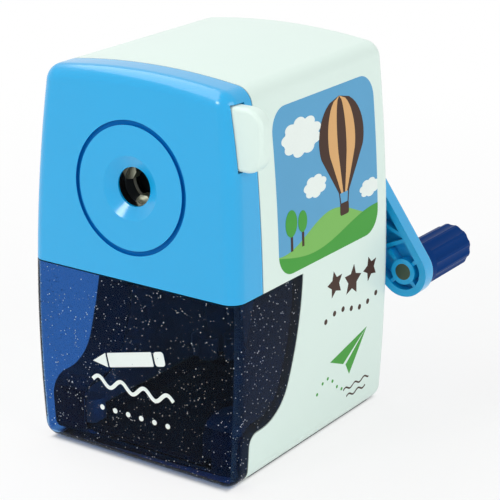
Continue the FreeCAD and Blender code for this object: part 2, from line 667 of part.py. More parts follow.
def cutter(first):
    """Helical cutter on its inclined axle, up against the pinion."""
    tilt = math.radians(number("cutter_tilt"))
    last = number(f"{APEX} - {TIP} - cutter_overrun") / math.cos(tilt)
    edges = int(number("cutter_edges"))
    half = math.pi / edges
    land, foot = half * number("edge_land"), half * number("edge_foot")
    twist = math.radians(number("cutter_twist"))
    sections = []
    for level in range(CUTTER_SECTIONS):
        share = level / (CUTTER_SECTIONS - 1)
        height = first - number("seat_play") + (last - first) * share
        sections.append(toothed_wire(edges, number("cutter_radius"), number("cutter_core"), land, foot,
                                     height, 1, twist * share))
    bore = Part.makeCylinder(number("axle_radius + running_play"), first * 2)
    blade = shaped(Part.makeLoft(sections, True, True).cut(bore))
    blade.Placement = Placement(point("0", APEX, AXIS), Rotation(Vector(1, 0, 0), 90 - number("cutter_tilt")))
    node("helical_cutter", blade)


def tilted_rod(start, stop, radius):
    """Cylinder on the cutter axis between two depths behind the front face."""
    low = f"(({APEX} - {FRONT} - {stop}) / cos(cutter_tilt))"
    high = f"(({APEX} - {FRONT} - {start}) / cos(cutter_tilt))"
    at = ("0", f"{APEX} - {low} * cos(cutter_tilt)", f"{AXIS} + {low} * sin(cutter_tilt)")
    solid = rod(at, radius, f"{high} - {low}", Rotation(Vector(1, 0, 0), 90))
    return bind(solid, Placement__Rotation__Angle="(90 - cutter_tilt) * 1 deg")


def carrier():
    """Turning carrier, cutter axle, crank shaft and rear bush."""
    nose = rod(("0", f"{FRONT} + nose_depth", AXIS), "nose_radius", "nose_thickness")
    yoke = rod(("0", YOKE, AXIS), "yoke_radius", "yoke_thickness")
    hub = rod(("0", f"{YOKE} + yoke_thickness / 2", AXIS), "hub_radius", "yoke_thickness / 2 + hub_length")
    bars = [span((f"{low}", f"{FRONT} + nose_depth + nose_thickness / 2", f"{AXIS} - bar_height / 2"),
                 (f"{low} + bar_thickness", f"{YOKE} + yoke_thickness / 2", f"{AXIS} + bar_height / 2"))
            for low in ("bar_inside", "0 - bar_inside - bar_thickness")]
    guide = rod(("0", f"{FRONT} + nose_depth", AXIS), "guide_radius", "nose_thickness")
    flare = taper(("0", f"{FRONT} + nose_depth", AXIS), "guide_radius + nose_thickness / 2", "guide_radius",
                  "nose_thickness / 2")
    axle_end = f"({YOKE} - {FRONT} + axle_seat)"
    seat = tilted_rod("(nose_depth - nose_thickness)", axle_end, "axle_radius + seat_play")
    socket = rod(("0", f"{YOKE} + yoke_thickness", AXIS), "shaft_radius + seat_play", "hub_length + wall")
    node("cutter_carrier", cut(fuse(nose, yoke, hub, *bars), guide, flare, seat, socket))
    node("cutter_axle", tilted_rod("(nose_depth + axle_recess)", axle_end, "axle_radius"))
    step = f"({WASHER} + washer_thickness)"
    inner = f"({YOKE} + yoke_thickness)"
    round_part = rod(("0", inner, AXIS), "shaft_radius", f"{step} - {inner}")
    tongue_end = f"({ARM_REAR} - arm_floor / 2)"
    tongue = common(rod(("0", inner, "0"), "shaft_radius", f"{tongue_end} - {inner}"),
                    span(("0 - shaft_flat", inner, "0 - shaft_radius"),
                         ("shaft_flat", tongue_end, "shaft_radius")))
    with_crank(tongue, "0")
    tapped = rod(("0", f"{ARM_REAR} - crank_screw_grip", AXIS), "crank_screw_radius + seat_play",
                 "crank_screw_grip")
    node("crank_shaft", cut(fuse(round_part, tongue), tapped))
    inside = f"({REAR} - wall - bush_boss_length)"
    sleeve = rod(("0", inside, AXIS), "shaft_radius + bush_wall", f"{REAR} - {inside}")
    flange = rod(("0", REAR, AXIS), "bush_flange", "flange_thickness")
    bore = rod(("0", inside, AXIS), "shaft_radius + running_play", f"{REAR} + flange_thickness - {inside}")
    node("rear_bush", cut(fuse(sleeve, flange), bore))


def with_crank(thing, depth):
    """Turn an object made along +X to the crank's angle about its axis."""
    place(thing, ("0", depth, AXIS), Rotation(Vector(0, 1, 0), number("crank_angle")))
    bind(thing, Placement__Rotation__Angle="crank_angle * 1 deg")
    return thing


def teardrop(big, small, depth):
    """Solid between two round ends along +X, from y = 0 to a depth."""
    throw = number("crank_throw")
    angle = math.acos((big - small) / throw)
    corners = []
    for radius, middle in ((big, 0), (small, throw)):
        corners.append([Vector(middle + radius * math.cos(angle), 0, side * radius * math.sin(angle))
                        for side in (1, -1)])
    path = [
        Part.Arc(corners[0][1], Vector(-big, 0, 0), corners[0][0]),
        Part.LineSegment(corners[0][0], corners[1][0]),
        Part.Arc(corners[1][0], Vector(throw + small, 0, 0), corners[1][1]),
        Part.LineSegment(corners[1][1], corners[0][1]),
    ]
    return Part.Face(Part.Wire([piece.toShape() for piece in path])).extrude(Vector(0, depth, 0))


def crank():
    """Ribbed crank arm with its washer, screw and handle pin."""
    thick, floor, rim = (number(name) for name in ("arm_thickness", "arm_floor", "arm_rim"))
    big, small = number("arm_hub_radius"), number("arm_end_radius")
    blank = rounded(shaped(teardrop(big, small, thick)), "arm_round",
                    lambda e: abs(e.CenterOfMass.y - thick) < 1e-3)
    recess = shaped(teardrop(big - rim, small - rim, thick - floor))
    arm = cut(blank, recess)
    hub = rod(("0", f"{WASHER} + washer_thickness - {ARM}", "0"), "arm_boss_radius",
              f"{ARM} + arm_thickness - arm_floor / 2 - {WASHER} - washer_thickness")
    boss = rod(("crank_throw", "0", "0"), "pin_boss_radius", "arm_thickness - arm_floor / 2")
    ribs = common(fuse(*lattice()), shaped(teardrop(big - rim / 2, small - rim / 2, thick)))
    socket = rod(("0", f"{WASHER} - {ARM}", "0"), "shaft_radius + seat_play", "arm_thickness + crank_gap")
    flat = span(("0 - shaft_flat - seat_play", f"{WASHER} - {ARM}", "0 - shaft_radius * 2"),
                ("shaft_flat + seat_play", "arm_thickness - arm_floor / 2", "shaft_radius * 2"))
    bore = rod(("0", "0", "0"), "crank_screw_radius + part_play", "arm_thickness")
    pin_hole = rod(("crank_throw", "0", "0"), "pin_radius + seat_play", "arm_thickness")
    piece = cut(fuse(arm, hub, boss, ribs), common(socket, flat), bore, pin_hole)
    node("crank_arm", with_crank(piece, ARM))
    ring = rod(("0", WASHER, AXIS), "washer_radius", "washer_thickness")
    node("crank_washer", cut(ring, rod(("0", WASHER, AXIS), "shaft_radius + running_play", "washer_thickness")))
    node("crank_screw", screw(("0", ARM_REAR, AXIS), "-Y", "crank_screw_radius", "crank_screw_head",
                              "crank_screw_height", "crank_screw_grip"))
    head_at = f"({KNOB} + knob_length - knob_cap_depth)"
    pin = rod((PIN_X, ARM, PIN_Z), "pin_radius", f"{head_at} - {ARM} + pin_head_height")
    head = rod((PIN_X, f"{head_at} + part_play", PIN_Z), "pin_head_radius", "pin_head_height - part_play")
    node("handle_pin", fuse(pin, head))


def lattice():
    """Rib pairs from points along the upper rim, and short ribs round the pin boss."""
    base = "rib_drop"
    tall = "arm_thickness - arm_floor / 2 - rib_drop"
    narrowing = "((arm_hub_radius - arm_end_radius) / crank_throw)"
    ribs = []
    for bay in range(int(number("rib_bays"))):
        along = f"(crank_throw - rib_first - rib_pitch * {bay})"
        across = f"((arm_hub_radius - {along} * {narrowing}) / sqrt(1 - {narrowing} ^ 2) - arm_rim / 2)"
        for angle in ("strut_angle", "brace_angle"):
            at = (f"{along} - rib_thickness / 2 * sin({angle})", base,
                  f"{across} + rib_thickness / 2 * cos({angle})")
            rib = box(at, ("crank_throw", tall, "rib_thickness"), Rotation(Vector(0, 1, 0), 90))
            ribs.append(bind(rib, Placement__Rotation__Angle=f"180 deg - {angle} * 1 deg"))
    ribs.append(box(("crank_throw - arm_end_radius", base, "0 - rib_thickness / 2"),
                    ("arm_end_radius * 2", tall, "rib_thickness")))
    ribs.append(box(("crank_throw - rib_thickness / 2", base, "0 - arm_end_radius"),
                    ("rib_thickness", tall, "arm_end_radius * 2")))
    return ribs


def knob():
    """Fluted knob that turns on the handle pin, and its end cap."""
    grip = taper((PIN_X, KNOB, PIN_Z), "knob_radius", "knob_end_radius", "knob_length")
    grip = rounded(grip, "knob_round", lambda e: not runs_along(e, 1))
    cuts = [rod((PIN_X, KNOB, PIN_Z), "pin_radius + running_play", "knob_length"),
            rod((PIN_X, f"{KNOB} + knob_length - knob_cap_depth", PIN_Z), "pin_head_radius + part_play",
                "knob_cap_depth")]
    flutes = int(number("flutes"))
    for flute in range(flutes):
        angle = f"({flute} * 360 / flutes)"
        reach = "(knob_radius + flute_radius - flute_depth)"
        cuts.append(rod((f"{PIN_X} + {reach} * cos({angle})", f"{KNOB} + flute_start",
                         f"{PIN_Z} + {reach} * sin({angle})"), "flute_radius", "knob_length"))
    node("grip_knob", cut(grip, *cuts))
    node("knob_cap", rod((PIN_X, f"{KNOB} + knob_length - knob_cap_thickness", PIN_Z),
                         "pin_head_radius + part_play - seat_play", "knob_cap_thickness"))


def drawer(outer):
    """Shavings drawer: wrapped front and sides with a bin behind."""
    top = number("drawer_height - seam_gap")
    skin = common(outer, drawer_zone(top, 0))
    low = "(base_thickness + part_play)"
    tray = span(("0 - bin_half_width", f"{FRONT} + drawer_wall", low),
                ("bin_half_width", f"{FRONT} + bin_rear", "bin_top"))
    hollow = common(body_form("drawer_wall", f"{FRONT} - front_bow_radius", REAR, "base_lift + drawer_wall"),
                    drawer_zone(top * 2, -number("drawer_wall")))
    inside = span(("bin_wall - bin_half_width", f"{FRONT} + drawer_wall * 2", f"{low} + bin_wall"),
                  ("bin_half_width - bin_wall", f"{FRONT} + bin_rear - bin_wall", "bin_top * 2"))
    node("shavings_drawer", cut(fuse(skin, tray), hollow, inside))


def leaning(radius, length):
    """Cylinder square to the leaning front face at the crank axis, from just in front of it."""
    at = ("0", f"{FACE} - plate_wall * cos({LEAN})", f"{AXIS} + plate_wall * sin({LEAN})")
    return bind(rod(at, radius, length), Placement__Rotation__Angle=f"90 deg + {LEAN}")


def face_plate(outer):
    """Sky-blue face plate with its funnel, ring groove, bosses and button guides, and its entry liner."""
    shell = common(outer, span((f"0 - {HALF}", f"{FRONT} - plate_wall", "drawer_height"),
                               (HALF, f"{FRONT} + plate_depth", f"{CROWN} + crown_above_axis")))
    room = body_form("plate_wall", f"{FRONT} - front_bow_radius", REAR, "drawer_height + plate_wall")
    shell = cut(shell, room)
    back = f"({FACE} + plate_wall / 2)"
    boss = rod(("0", back, AXIS), "entry_radius + entry_wall", f"{CHUCK} - {back}")
    posts = [rod((x, back, z), "ear_radius", f"{CHUCK} - {back}") for x, z in ear_places()]
    rods = [rod((f"{sign}{ROD_X}", f"{FRONT} + plate_wall", ROD_Z), "rod_boss", "rod_boss_depth - plate_wall")
            for sign in SIDES]
    low = f"({SLIDER_LOW} - part_play)"
    high = f"({SLIDER_TOP} + part_play)"
    outer_end = f"({HALF} - button_travel * 2 - plate_wall - part_play)"
    rail_top = f"({high} + plate_wall / 2)"
    rail_front = f"({FRONT} + ({rail_top} - front_bow_height) ^ 2 / (2 * front_bow_radius) + plate_wall / 2)"
    rails = [span(("chuck_bore", rail_front, high), (outer_end, BUTTON_REAR, rail_top)),
             span(("chuck_bore", rail_front, f"{low} - plate_wall / 2"), (outer_end, BUTTON_REAR, low)),
             span((f"{BUTTON_STOP} - plate_wall", rail_front, low), (BUTTON_STOP, BUTTON_REAR, high))]
    body = fuse(shell, boss, *posts, *rods, *rails)
    groove = cut(leaning("groove_radius", "groove_depth + plate_wall"),
                 leaning("groove_radius - groove_width", "groove_depth + plate_wall"))
    mouth = leaning("funnel_radius", "plate_wall")
    inner = "(entry_radius / 2)"
    flare = taper(("0", FACE, AXIS), "funnel_radius", inner,
                  f"funnel_depth * (funnel_radius - {inner}) / (funnel_radius - entry_radius)")
    bind(flare, Placement__Rotation__Angle=f"90 deg + {LEAN}")
    entry = rod(("0", FACE, AXIS), "entry_radius", "chuck_depth")
    tube = "entry_radius + liner_wall"
    seat = rod(("0", LINER, AXIS), f"{tube} + seat_play", "chuck_depth")
    notch_low = f"({AXIS} + button_bottom - part_play)"
    notch = span((f"{outer_end} + part_play / 2", f"{BUTTON} - part_play", notch_low),
                 ("button_reach", f"{BUTTON_REAR} + part_play", f"{notch_low} + button_height + part_play * 2"))
    holes = [rod((f"{sign}{ROD_X}", f"{FRONT} + rod_seat_depth", ROD_Z), "rod_radius + seat_play",
                 "rod_boss_depth") for sign in SIDES]
    holes += [rod((x, f"{CHUCK} - chuck_screw_grip", z), "chuck_screw + seat_play", "chuck_screw_grip")
              for x, z in ear_places()]
    node("face_plate", cut(body, groove, flare, mouth, entry, seat, notch, *holes))
    node("entry_liner", cut(rod(("0", LINER, AXIS), tube, f"{CHUCK} - {LINER}"),
                            rod(("0", LINER, AXIS), "entry_radius", f"{CHUCK} - {LINER}")))


def ear_places():
    """Middles of the chuck screws, by angle from +X towards +Z."""
    return [(f"(ear_reach * cos({angle}))", f"({AXIS} + ear_reach * sin({angle}))") for angle in EAR_ANGLES]


def carriage():
    """Guide rods with their clips and feed springs."""
    clips = []
    for name, sign in (("right", ""), ("left", "0 - ")):
        x = f"{sign}{ROD_X}"
        node(f"{name}_guide_rod", rod((x, f"{FRONT} + rod_seat_depth", ROD_Z), "rod_radius",
                                      f"{ROD_END} - {FRONT} - rod_seat_depth"))
        clips.append(cut(rod((x, CLIP, ROD_Z), "clip_radius", "clip_thickness"),
                         rod((x, CLIP, ROD_Z), "rod_radius + seat_play", "clip_thickness")))
        start = f"({ROD_BUSH} + rod_bush_length)"
        spring = coil(point(x, start, ROD_Z), "Y", number("feed_radius"), number("feed_wire"),
                      number(f"{CLIP} - {start}"), number("feed_turns"))
        node(f"{name}_feed_spring", spring)
    node("rod_clips", group(*clips))


def chuck():
    """Chuck body, jaws, cam ring, cover and screws."""
    disc = rod(("0", CHUCK, AXIS), "chuck_radius", "chuck_thickness")
    ears = []
    cover_ears = []
    holes = []
    cover_holes = []
    screws = []
    for (x, z), angle in zip(ear_places(), EAR_ANGLES):
        ears.append(rod((x, CHUCK, z), "ear_radius", f"{COVER} - {CHUCK}"))
        turn = Rotation(Vector(0, -1, 0), angle)
        side = turn.multVec(Vector(0, 0, 1))
        arm_at = [f"0 - ear_radius * {side.x:.6f}", CHUCK, f"{AXIS} - ear_radius * {side.z:.6f}"]
        ears.append(box(arm_at, ("ear_reach", "chuck_thickness", "ear_radius * 2"), turn))
        arm_at[1] = COVER
        cover_ears.append(box(arm_at, ("ear_reach", "cover_thickness", "ear_radius * 2"), turn))
        cover_ears.append(rod((x, COVER, z), "ear_radius", "cover_thickness"))
        holes.append(rod((x, CHUCK, z), "chuck_screw + seat_play", f"{COVER} - {CHUCK}"))
        cover_holes.append(rod((x, COVER, z), "chuck_screw + seat_play", "cover_thickness"))
        screws.append(screw((x, f"{COVER} + cover_thickness", z), "-Y", "chuck_screw", "chuck_screw_head",
                            "chuck_screw_height", f"{COVER} + cover_thickness - {CHUCK} + chuck_screw_grip"))
    channel_half = "(jaw_width / 2 + jaw_play)"
    for count, angle in enumerate(JAW_ANGLES, start=1):
        turn = Rotation(Vector(0, -1, 0), angle)
        channel = span(("0", f"{JAW} - jaw_play", f"0 - {channel_half}"),
                       ("chuck_radius * 2", CAM, channel_half))
        holes.append(place(group(channel), ("0", "0", AXIS), turn))
        node(f"chuck_jaw_{count}", place(jaw(), ("0", "0", AXIS), turn))
    holes.append(rod(("0", CHUCK, AXIS), "chuck_bore", "chuck_thickness"))
    node("chuck_body", cut(fuse(disc, *ears), *holes))
    cover = rod(("0", COVER, AXIS), "cam_outer", "cover_thickness")
    cover_holes.append(rod(("0", COVER, AXIS), "cam_inner", "cover_thickness"))
    node("chuck_cover", cut(fuse(cover, *cover_ears), *cover_holes))
    node("chuck_screws", group(*screws))
    cam_ring()


def jaw():
    """One jaw along +X: a bevelled block with a pin on its rear face."""
    block = span(("jaw_gap", JAW, "0 - jaw_width / 2"),
                 ("jaw_gap + jaw_length", f"{JAW} + jaw_thickness", "jaw_width / 2"))
    pin = rod(("jaw_pin_reach", f"{JAW} + jaw_thickness / 2", "0"), "jaw_pin_radius",
              "jaw_thickness / 2 + cam_gap + cam_thickness")
    size = ("jaw_width", "jaw_thickness", "jaw_width")
    bevels = [box(("jaw_gap", JAW, "jaw_tip / 2"), size, Rotation(Vector(0, -1, 0), BEVEL)),
              box(("jaw_gap", JAW, "0 - jaw_tip / 2"), size, Rotation(Vector(0, 1, 0), 90 + BEVEL))]
    return cut(fuse(block, pin), *bevels)


def cam_ring():
    """Cam ring: three spiral slots for the jaw pins and a peg for the slider."""
    sweep = 2 * math.radians(number(PEG_LEAN))
    overrun = number("cam_overrun")
    width = number("jaw_pin_radius + jaw_play")
    slots = []
    for angle in JAW_ANGLES:
        stations = []
        for share in (-overrun, 0.5, 1 + overrun):
            radius = number("jaw_pin_reach") + number("jaw_travel") * share
            turn = math.radians(angle) - sweep * share
            stations.append(Vector(radius * math.cos(turn), 0, radius * math.sin(turn)))
        outline = Part.Wire([Part.Arc(*stations).toShape()]).makeOffset2D(width, 0, False, False, False)
        slots.append(Part.Face(outline).extrude(Vector(0, number("cam_thickness"), 0)))
    cutters = shaped(Part.makeCompound(slots))
    place(cutters, ("0", CAM, AXIS))
    ring = rod(("0", CAM, AXIS), "cam_outer", "cam_thickness")
    peg_x = "button_travel / 2"
    arm = span((f"{peg_x} - cam_arm_half", CAM, f"{AXIS} + (cam_inner + cam_outer) / 2"),
               (f"{peg_x} + cam_arm_half", f"{CAM} + cam_thickness", f"{PEG_Z} + cam_arm_end"))
    peg_at = f"({BUTTON_REAR} - slider_thickness)"
    peg = rod((peg_x, peg_at, PEG_Z), "peg_radius", f"{CAM} - {peg_at} + cam_thickness / 2")
    bore = rod(("0", CAM, AXIS), "cam_inner", "cam_thickness")
    node("cam_ring", cut(fuse(ring, arm, peg), cutters, bore))


def button():
    """Clamp button with its slider, and the spring behind it."""
    bottom = f"({AXIS} + button_bottom)"
    paddle = span((f"{HALF} - button_travel - plate_wall", BUTTON, bottom),
                  ("button_reach", BUTTON_REAR, f"{bottom} + button_height"))
    edge = number("button_reach - button_edge")
    paddle = rounded(paddle, "button_round", lambda e: runs_along(e, 1) and e.CenterOfMass.x > edge)
    limit = number(f"{HALF} - plate_wall")
    paddle = rounded(paddle, "button_edge", lambda e: e.CenterOfMass.x > limit and not runs_along(e, 1))
    slider = span(("0 - slider_end", f"{BUTTON_REAR} - slider_thickness", SLIDER_LOW),
                  (f"{HALF} - button_travel", BUTTON_REAR, SLIDER_TOP))
    gap = "(peg_radius + jaw_play)"
    slot = span((f"button_travel / 2 - {gap}", BUTTON, f"{SLIDER_LOW} - part_play"),
                (f"button_travel / 2 + {gap}", BUTTON_REAR, f"{PEG_Z} + {gap} + part_play * 2"))
    node("clamp_button", cut(fuse(paddle, slider), slot))
    start = point(BUTTON_STOP, f"{BUTTON_REAR} - slider_thickness / 2", f"{SLIDER_LOW} + slider_height / 2")
    spring = coil(start, "X", number("button_spring_radius"), number("button_wire"),
                  number("button_spring_length"), number("button_spring_turns"))
    node("button_spring", spring)


def check():
    """Stop on any failed object or unsound sub-part."""
    doc.recompute()
    failed = [thing.Label for thing in doc.Objects if {"Invalid", "Error"} & set(thing.State)]
    if failed:
        raise RuntimeError(f"failed objects: {failed}")
    for thing in nodes:
        if thing.Shape.isNull() or not thing.Shape.isValid() or not thing.Shape.Solids:
            raise RuntimeError(f"unsound shape: {thing.Label}")


def write():
    """Write each sub-part to its own file."""
    os.makedirs("parts", exist_ok=True)
    for thing in nodes:
        thing.Shape.exportStep(f"parts/{thing.Label}.step")


form = housing()
base()
bulkhead()
cutter(gears())
carrier()
crank()
knob()
drawer(form)
face_plate(form)
carriage()
chuck()
button()
check()
write()
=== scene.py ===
"""Looks of the crank pencil sharpener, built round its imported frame.

The scene is in metres in the frame of the solids: +Z up, -Y out of the pencil entry, +X to the right seen
from the front. The sub-assemblies and their prints hold their own sizes in millimetres.
"""

from __future__ import annotations

import json
import logging
import math
from dataclasses import dataclass
from enum import Enum
from functools import cache
from typing import Any, Callable, Iterable, Sequence, Union

import bmesh
import bpy
from mathutils import Euler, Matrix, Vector


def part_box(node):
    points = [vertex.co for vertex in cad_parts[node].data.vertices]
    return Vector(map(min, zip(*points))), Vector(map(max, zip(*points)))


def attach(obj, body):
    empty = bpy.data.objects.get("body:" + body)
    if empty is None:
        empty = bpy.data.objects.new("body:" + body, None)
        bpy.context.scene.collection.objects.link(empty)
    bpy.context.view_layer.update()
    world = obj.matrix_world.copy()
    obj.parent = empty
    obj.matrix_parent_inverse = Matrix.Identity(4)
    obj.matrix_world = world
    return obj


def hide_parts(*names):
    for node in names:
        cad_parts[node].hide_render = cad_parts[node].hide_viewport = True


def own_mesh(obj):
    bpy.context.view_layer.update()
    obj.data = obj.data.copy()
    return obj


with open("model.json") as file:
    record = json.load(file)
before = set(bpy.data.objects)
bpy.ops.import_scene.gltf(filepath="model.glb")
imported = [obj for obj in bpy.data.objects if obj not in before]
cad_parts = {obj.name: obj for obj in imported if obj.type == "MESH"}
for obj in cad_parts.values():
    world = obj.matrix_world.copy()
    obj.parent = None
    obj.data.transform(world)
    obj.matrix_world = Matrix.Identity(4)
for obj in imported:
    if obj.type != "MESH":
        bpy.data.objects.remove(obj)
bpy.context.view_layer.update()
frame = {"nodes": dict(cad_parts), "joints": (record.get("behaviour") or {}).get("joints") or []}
LOG = logging.getLogger("sharpener")
MM = 0.001
WHITE = (1.0, 1.0, 1.0, 1.0)
Colour = tuple[float, float, float]
Place = tuple[float, float, float]
Flat = tuple[float, float]
Outline = list[Flat]
Bow = Callable[[float, float, float], Place]
Value = Union["Wire", float, Sequence[float]]


def linear(red: int, green: int, blue: int) -> Colour:
    """Linear colour of three display values.

    Args:
        red: the red value, from 0 to 255.
        green: the green value.
        blue: the blue value.

    Returns:
        The colour.
    """
    def channel(value: int) -> float:
        """Linear value of one display channel."""
        share = value / 255
        return share / 12.92 if share <= 0.04045 else ((share + 0.055) / 1.055) ** 2.4
    return channel(red), channel(green), channel(blue)


def corners(node: str) -> tuple[list[float], list[float]]:
    """Lowest and highest corner of a solid at rest, in millimetres to two places."""
    low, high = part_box(node)
    return [round(value / MM, 2) for value in low], [round(value / MM, 2) for value in high]


class Wire:
    """A node's output socket that can be used in Python expressions."""

    def __init__(self, graph: "Graph", socket: bpy.types.NodeSocket) -> None:
        """Keep the socket and the graph that it belongs to."""
        self.graph = graph
        self.socket = socket

    def maths(self, operation: str, *values: Value) -> "Wire":
        """Result of a Math node on the given values."""
        sockets = dict(enumerate(values))
        return self.graph.wire("ShaderNodeMath", {"operation": operation}, sockets)

    def __add__(self, other: Value) -> "Wire":
        """Sum of two values."""
        return self.maths("ADD", self, other)

    def __radd__(self, other: Value) -> "Wire":
        """Sum of two values."""
        return self.maths("ADD", other, self)

    def __rsub__(self, other: Value) -> "Wire":
        """Difference of two values."""
        return self.maths("SUBTRACT", other, self)

    def __mul__(self, other: Value) -> "Wire":
        """Product of two values."""
        return self.maths("MULTIPLY", self, other)

    def highest(self, other: Value) -> "Wire":
        """Larger of two values."""
        return self.maths("MAXIMUM", self, other)

    def size(self) -> "Wire":
        """Value without its sign."""
        return self.maths("ABSOLUTE", self)

    def step(self, low: float, high: float) -> "Wire":
        """Smooth rise from 0 at low to 1 at high."""
        sockets = {"Value": self, "From Min": low, "From Max": high}
        return self.graph.wire("ShaderNodeMapRange", {"interpolation_type": "SMOOTHSTEP"}, sockets)


class Graph:
    """A node tree that is being filled, for a material, the world or a modifier."""

    def __init__(self, tree: bpy.types.NodeTree) -> None:
        """Start on a tree."""
        self.tree = tree

    def node(self, kind: str, settings: dict[str, Any] | None = None,
             sockets: dict[str | int, Value] | None = None) -> bpy.types.Node:
        """Add one node.

        Args:
            kind: the node's type.
            settings: its own properties, which are set first.
            sockets: values or wires of its inputs, by name or number.

        Returns:
            The node.
        """
        made = self.tree.nodes.new(kind)
        for key, value in (settings or {}).items():
            setattr(made, key, value)
        for key, value in (sockets or {}).items():
            if isinstance(value, Wire):
                self.tree.links.new(value.socket, made.inputs[key])
            else:
                made.inputs[key].default_value = value
        return made

    def wire(self, kind: str, settings: dict[str, Any] | None = None,
             sockets: dict[str | int, Value] | None = None, output: str | int = 0) -> Wire:
        """Add one node and give one of its outputs."""
        return Wire(self, self.node(kind, settings, sockets).outputs[output])

    def mix(self, share: Value, first: Value, second: Value) -> Wire:
        """Colour between two colours."""
        return self.wire("ShaderNodeMix", {"data_type": "RGBA"}, {0: share, 6: first, 7: second}, 2)

    def noise(self, where: Wire, scale: float, detail: float = 2.0) -> Wire:
        """Smooth noise from 0 to 1."""
        return self.wire("ShaderNodeTexNoise", None, {"Vector": where, "Scale": scale, "Detail": detail})

    def bump(self, height: Wire, strength: float, distance: float) -> Wire:
        """Normal that follows a fine relief."""
        sockets = {"Strength": strength, "Distance": distance, "Height": height}
        return self.wire("ShaderNodeBump", None, sockets)

    def place(self, stretch: Place = (1.0, 1.0, 1.0)) -> Wire:
        """Object coordinates, stretched along the axes.

        Args:
            stretch: the factor along each axis.

        Returns:
            The coordinates.
        """
        where = self.wire("ShaderNodeTexCoord", output="Object")
        if stretch == (1.0, 1.0, 1.0):
            return where
        return self.wire("ShaderNodeMapping", None, {"Vector": where, "Scale": stretch})

    def shown(self) -> Wire:
        """Tell the rays that show the surroundings from those that only light the sharpener.

        Returns:
            1 from the lens, off a gloss or through a clear wall, and 0 otherwise.
        """
        path = self.node("ShaderNodeLightPath")
        kinds = ("Camera", "Glossy", "Transmission")
        lens, gloss, clear = (Wire(self, path.outputs[f"Is {kind} Ray"]) for kind in kinds)
        return lens.highest(gloss).highest(clear)


@dataclass(frozen=True)
class Finish:
    """A surface finish that becomes one material."""

    name: str
    colour: Colour

    @cache
    def make(self) -> bpy.types.Material:
        """Make the material, once.

        Returns:
            The material.
        """
        material = bpy.data.materials.new(self.name)
        material.use_nodes = True
        material.node_tree.nodes.clear()
        graph = Graph(material.node_tree)
        surface = self.surface(graph)
        graph.node("ShaderNodeOutputMaterial", None, {"Surface": surface})
        material.diffuse_color = (*self.colour, 1)
        return material

    def surface(self, graph: Graph) -> Wire:
        """Shader of this finish."""
        raise NotImplementedError

    def shades(self, graph: Graph, share: Wire, spread: float) -> Wire:
        """Base colour that drifts a little darker and lighter.

        Args:
            graph: the material's node tree.
            share: 0 where it is darkest and 1 where it is lightest.
            spread: how far it drifts each way, as a share of the colour.

        Returns:
            The colour.
        """
        dark = [channel * (1 - spread) for channel in self.colour]
        light = [min(1.0, channel * (1 + spread)) for channel in self.colour]
        return graph.mix(share, (*dark, 1), (*light, 1))


@dataclass(frozen=True)
class Moulding(Finish):
    """Injection-moulded plastic: a fine skin, faint flow shades and a soft gloss."""

    roughness: float = 0.24
    flow: float = 38.0
    flow_matt: float = 0.05
    grain: float = 900.0
    grain_matt: float = 0.03
    relief: float = 0.2 * MM
    depth: float = 0.03
    spread: float = 0.03
    gloss: float = 0.28
    coat: float = 0.05
    coat_roughness: float = 0.08

    def surface(self, graph: Graph) -> Wire:
        """Join up the plastic's shader.

        Args:
            graph: the material's node tree.

        Returns:
            The shader.
        """
        where = graph.place()
        flow = graph.noise(where, self.flow, detail=3.0)
        skin = graph.noise(where, self.grain)
        smoothest = self.roughness - (self.flow_matt + self.grain_matt) / 2
        return graph.wire("ShaderNodeBsdfPrincipled", None, {
            "Base Color": self.shades(graph, flow, self.spread),
            "Roughness": smoothest + flow * self.flow_matt + skin * self.grain_matt,
            "Specular IOR Level": self.gloss,
            "Coat Weight": self.coat,
            "Coat Roughness": self.coat_roughness,
            "Normal": graph.bump(skin, self.depth, self.relief),
        })


@dataclass(frozen=True)
class Smoke(Finish):
    """Clear tinted plastic that light goes through."""

    roughness: float = 0.05
    cloud: float = 60.0
    cloud_matt: float = 0.03
    grain: float = 500.0
    relief: float = 0.2 * MM
    depth: float = 0.02
    spread: float = 0.05
    index: float = 1.12
    coat: float = 0.03
    coat_roughness: float = 0.04

    def surface(self, graph: Graph) -> Wire:
        """Join up the tinted plastic's shader.

        Args:
            graph: the material's node tree.

        Returns:
            The shader.
        """
        where = graph.place()
        cloud = graph.noise(where, self.cloud, detail=3.0)
        skin = graph.noise(where, self.grain, detail=1.0)
        return graph.wire("ShaderNodeBsdfPrincipled", None, {
            "Base Color": self.shades(graph, cloud, self.spread),
            "Roughness": self.roughness + cloud * self.cloud_matt,
            "IOR": self.index,
            "Transmission Weight": 1.0,
            "Coat Weight": self.coat,
            "Coat Roughness": self.coat_roughness,
            "Normal": graph.bump(skin, self.depth, self.relief),
        })


@dataclass(frozen=True)
class Metal(Finish):
    """Machined metal with fine tool marks along one axis."""

    roughness: float = 0.28
    polish: float = 0.06
    marks: Place = (1.0, 12.0, 1.0)
    mark: float = 700.0
    mark_matt: float = 0.1
    stain: float = 120.0
    stain_matt: float = 0.05
    stain_share: float = 0.6
    spread: float = 0.12
    relief: float = 0.1 * MM
    depth: float = 0.06

    def surface(self, graph: Graph) -> Wire:
        """Join up the metal's shader.

        Args:
            graph: the material's node tree.

        Returns:
            The shader.
        """
        stain = graph.noise(graph.place(), self.stain, detail=3.0)
        lines = graph.noise(graph.place(self.marks), self.mark)
        share = stain * self.stain_share + lines * (1 - self.stain_share)
        return graph.wire("ShaderNodeBsdfPrincipled", None, {
            "Base Color": self.shades(graph, share, self.spread),
            "Metallic": 1.0,
            "Roughness": self.roughness - self.polish + lines * self.mark_matt + stain * self.stain_matt,
            "Normal": graph.bump(lines, self.depth, self.relief),
        })


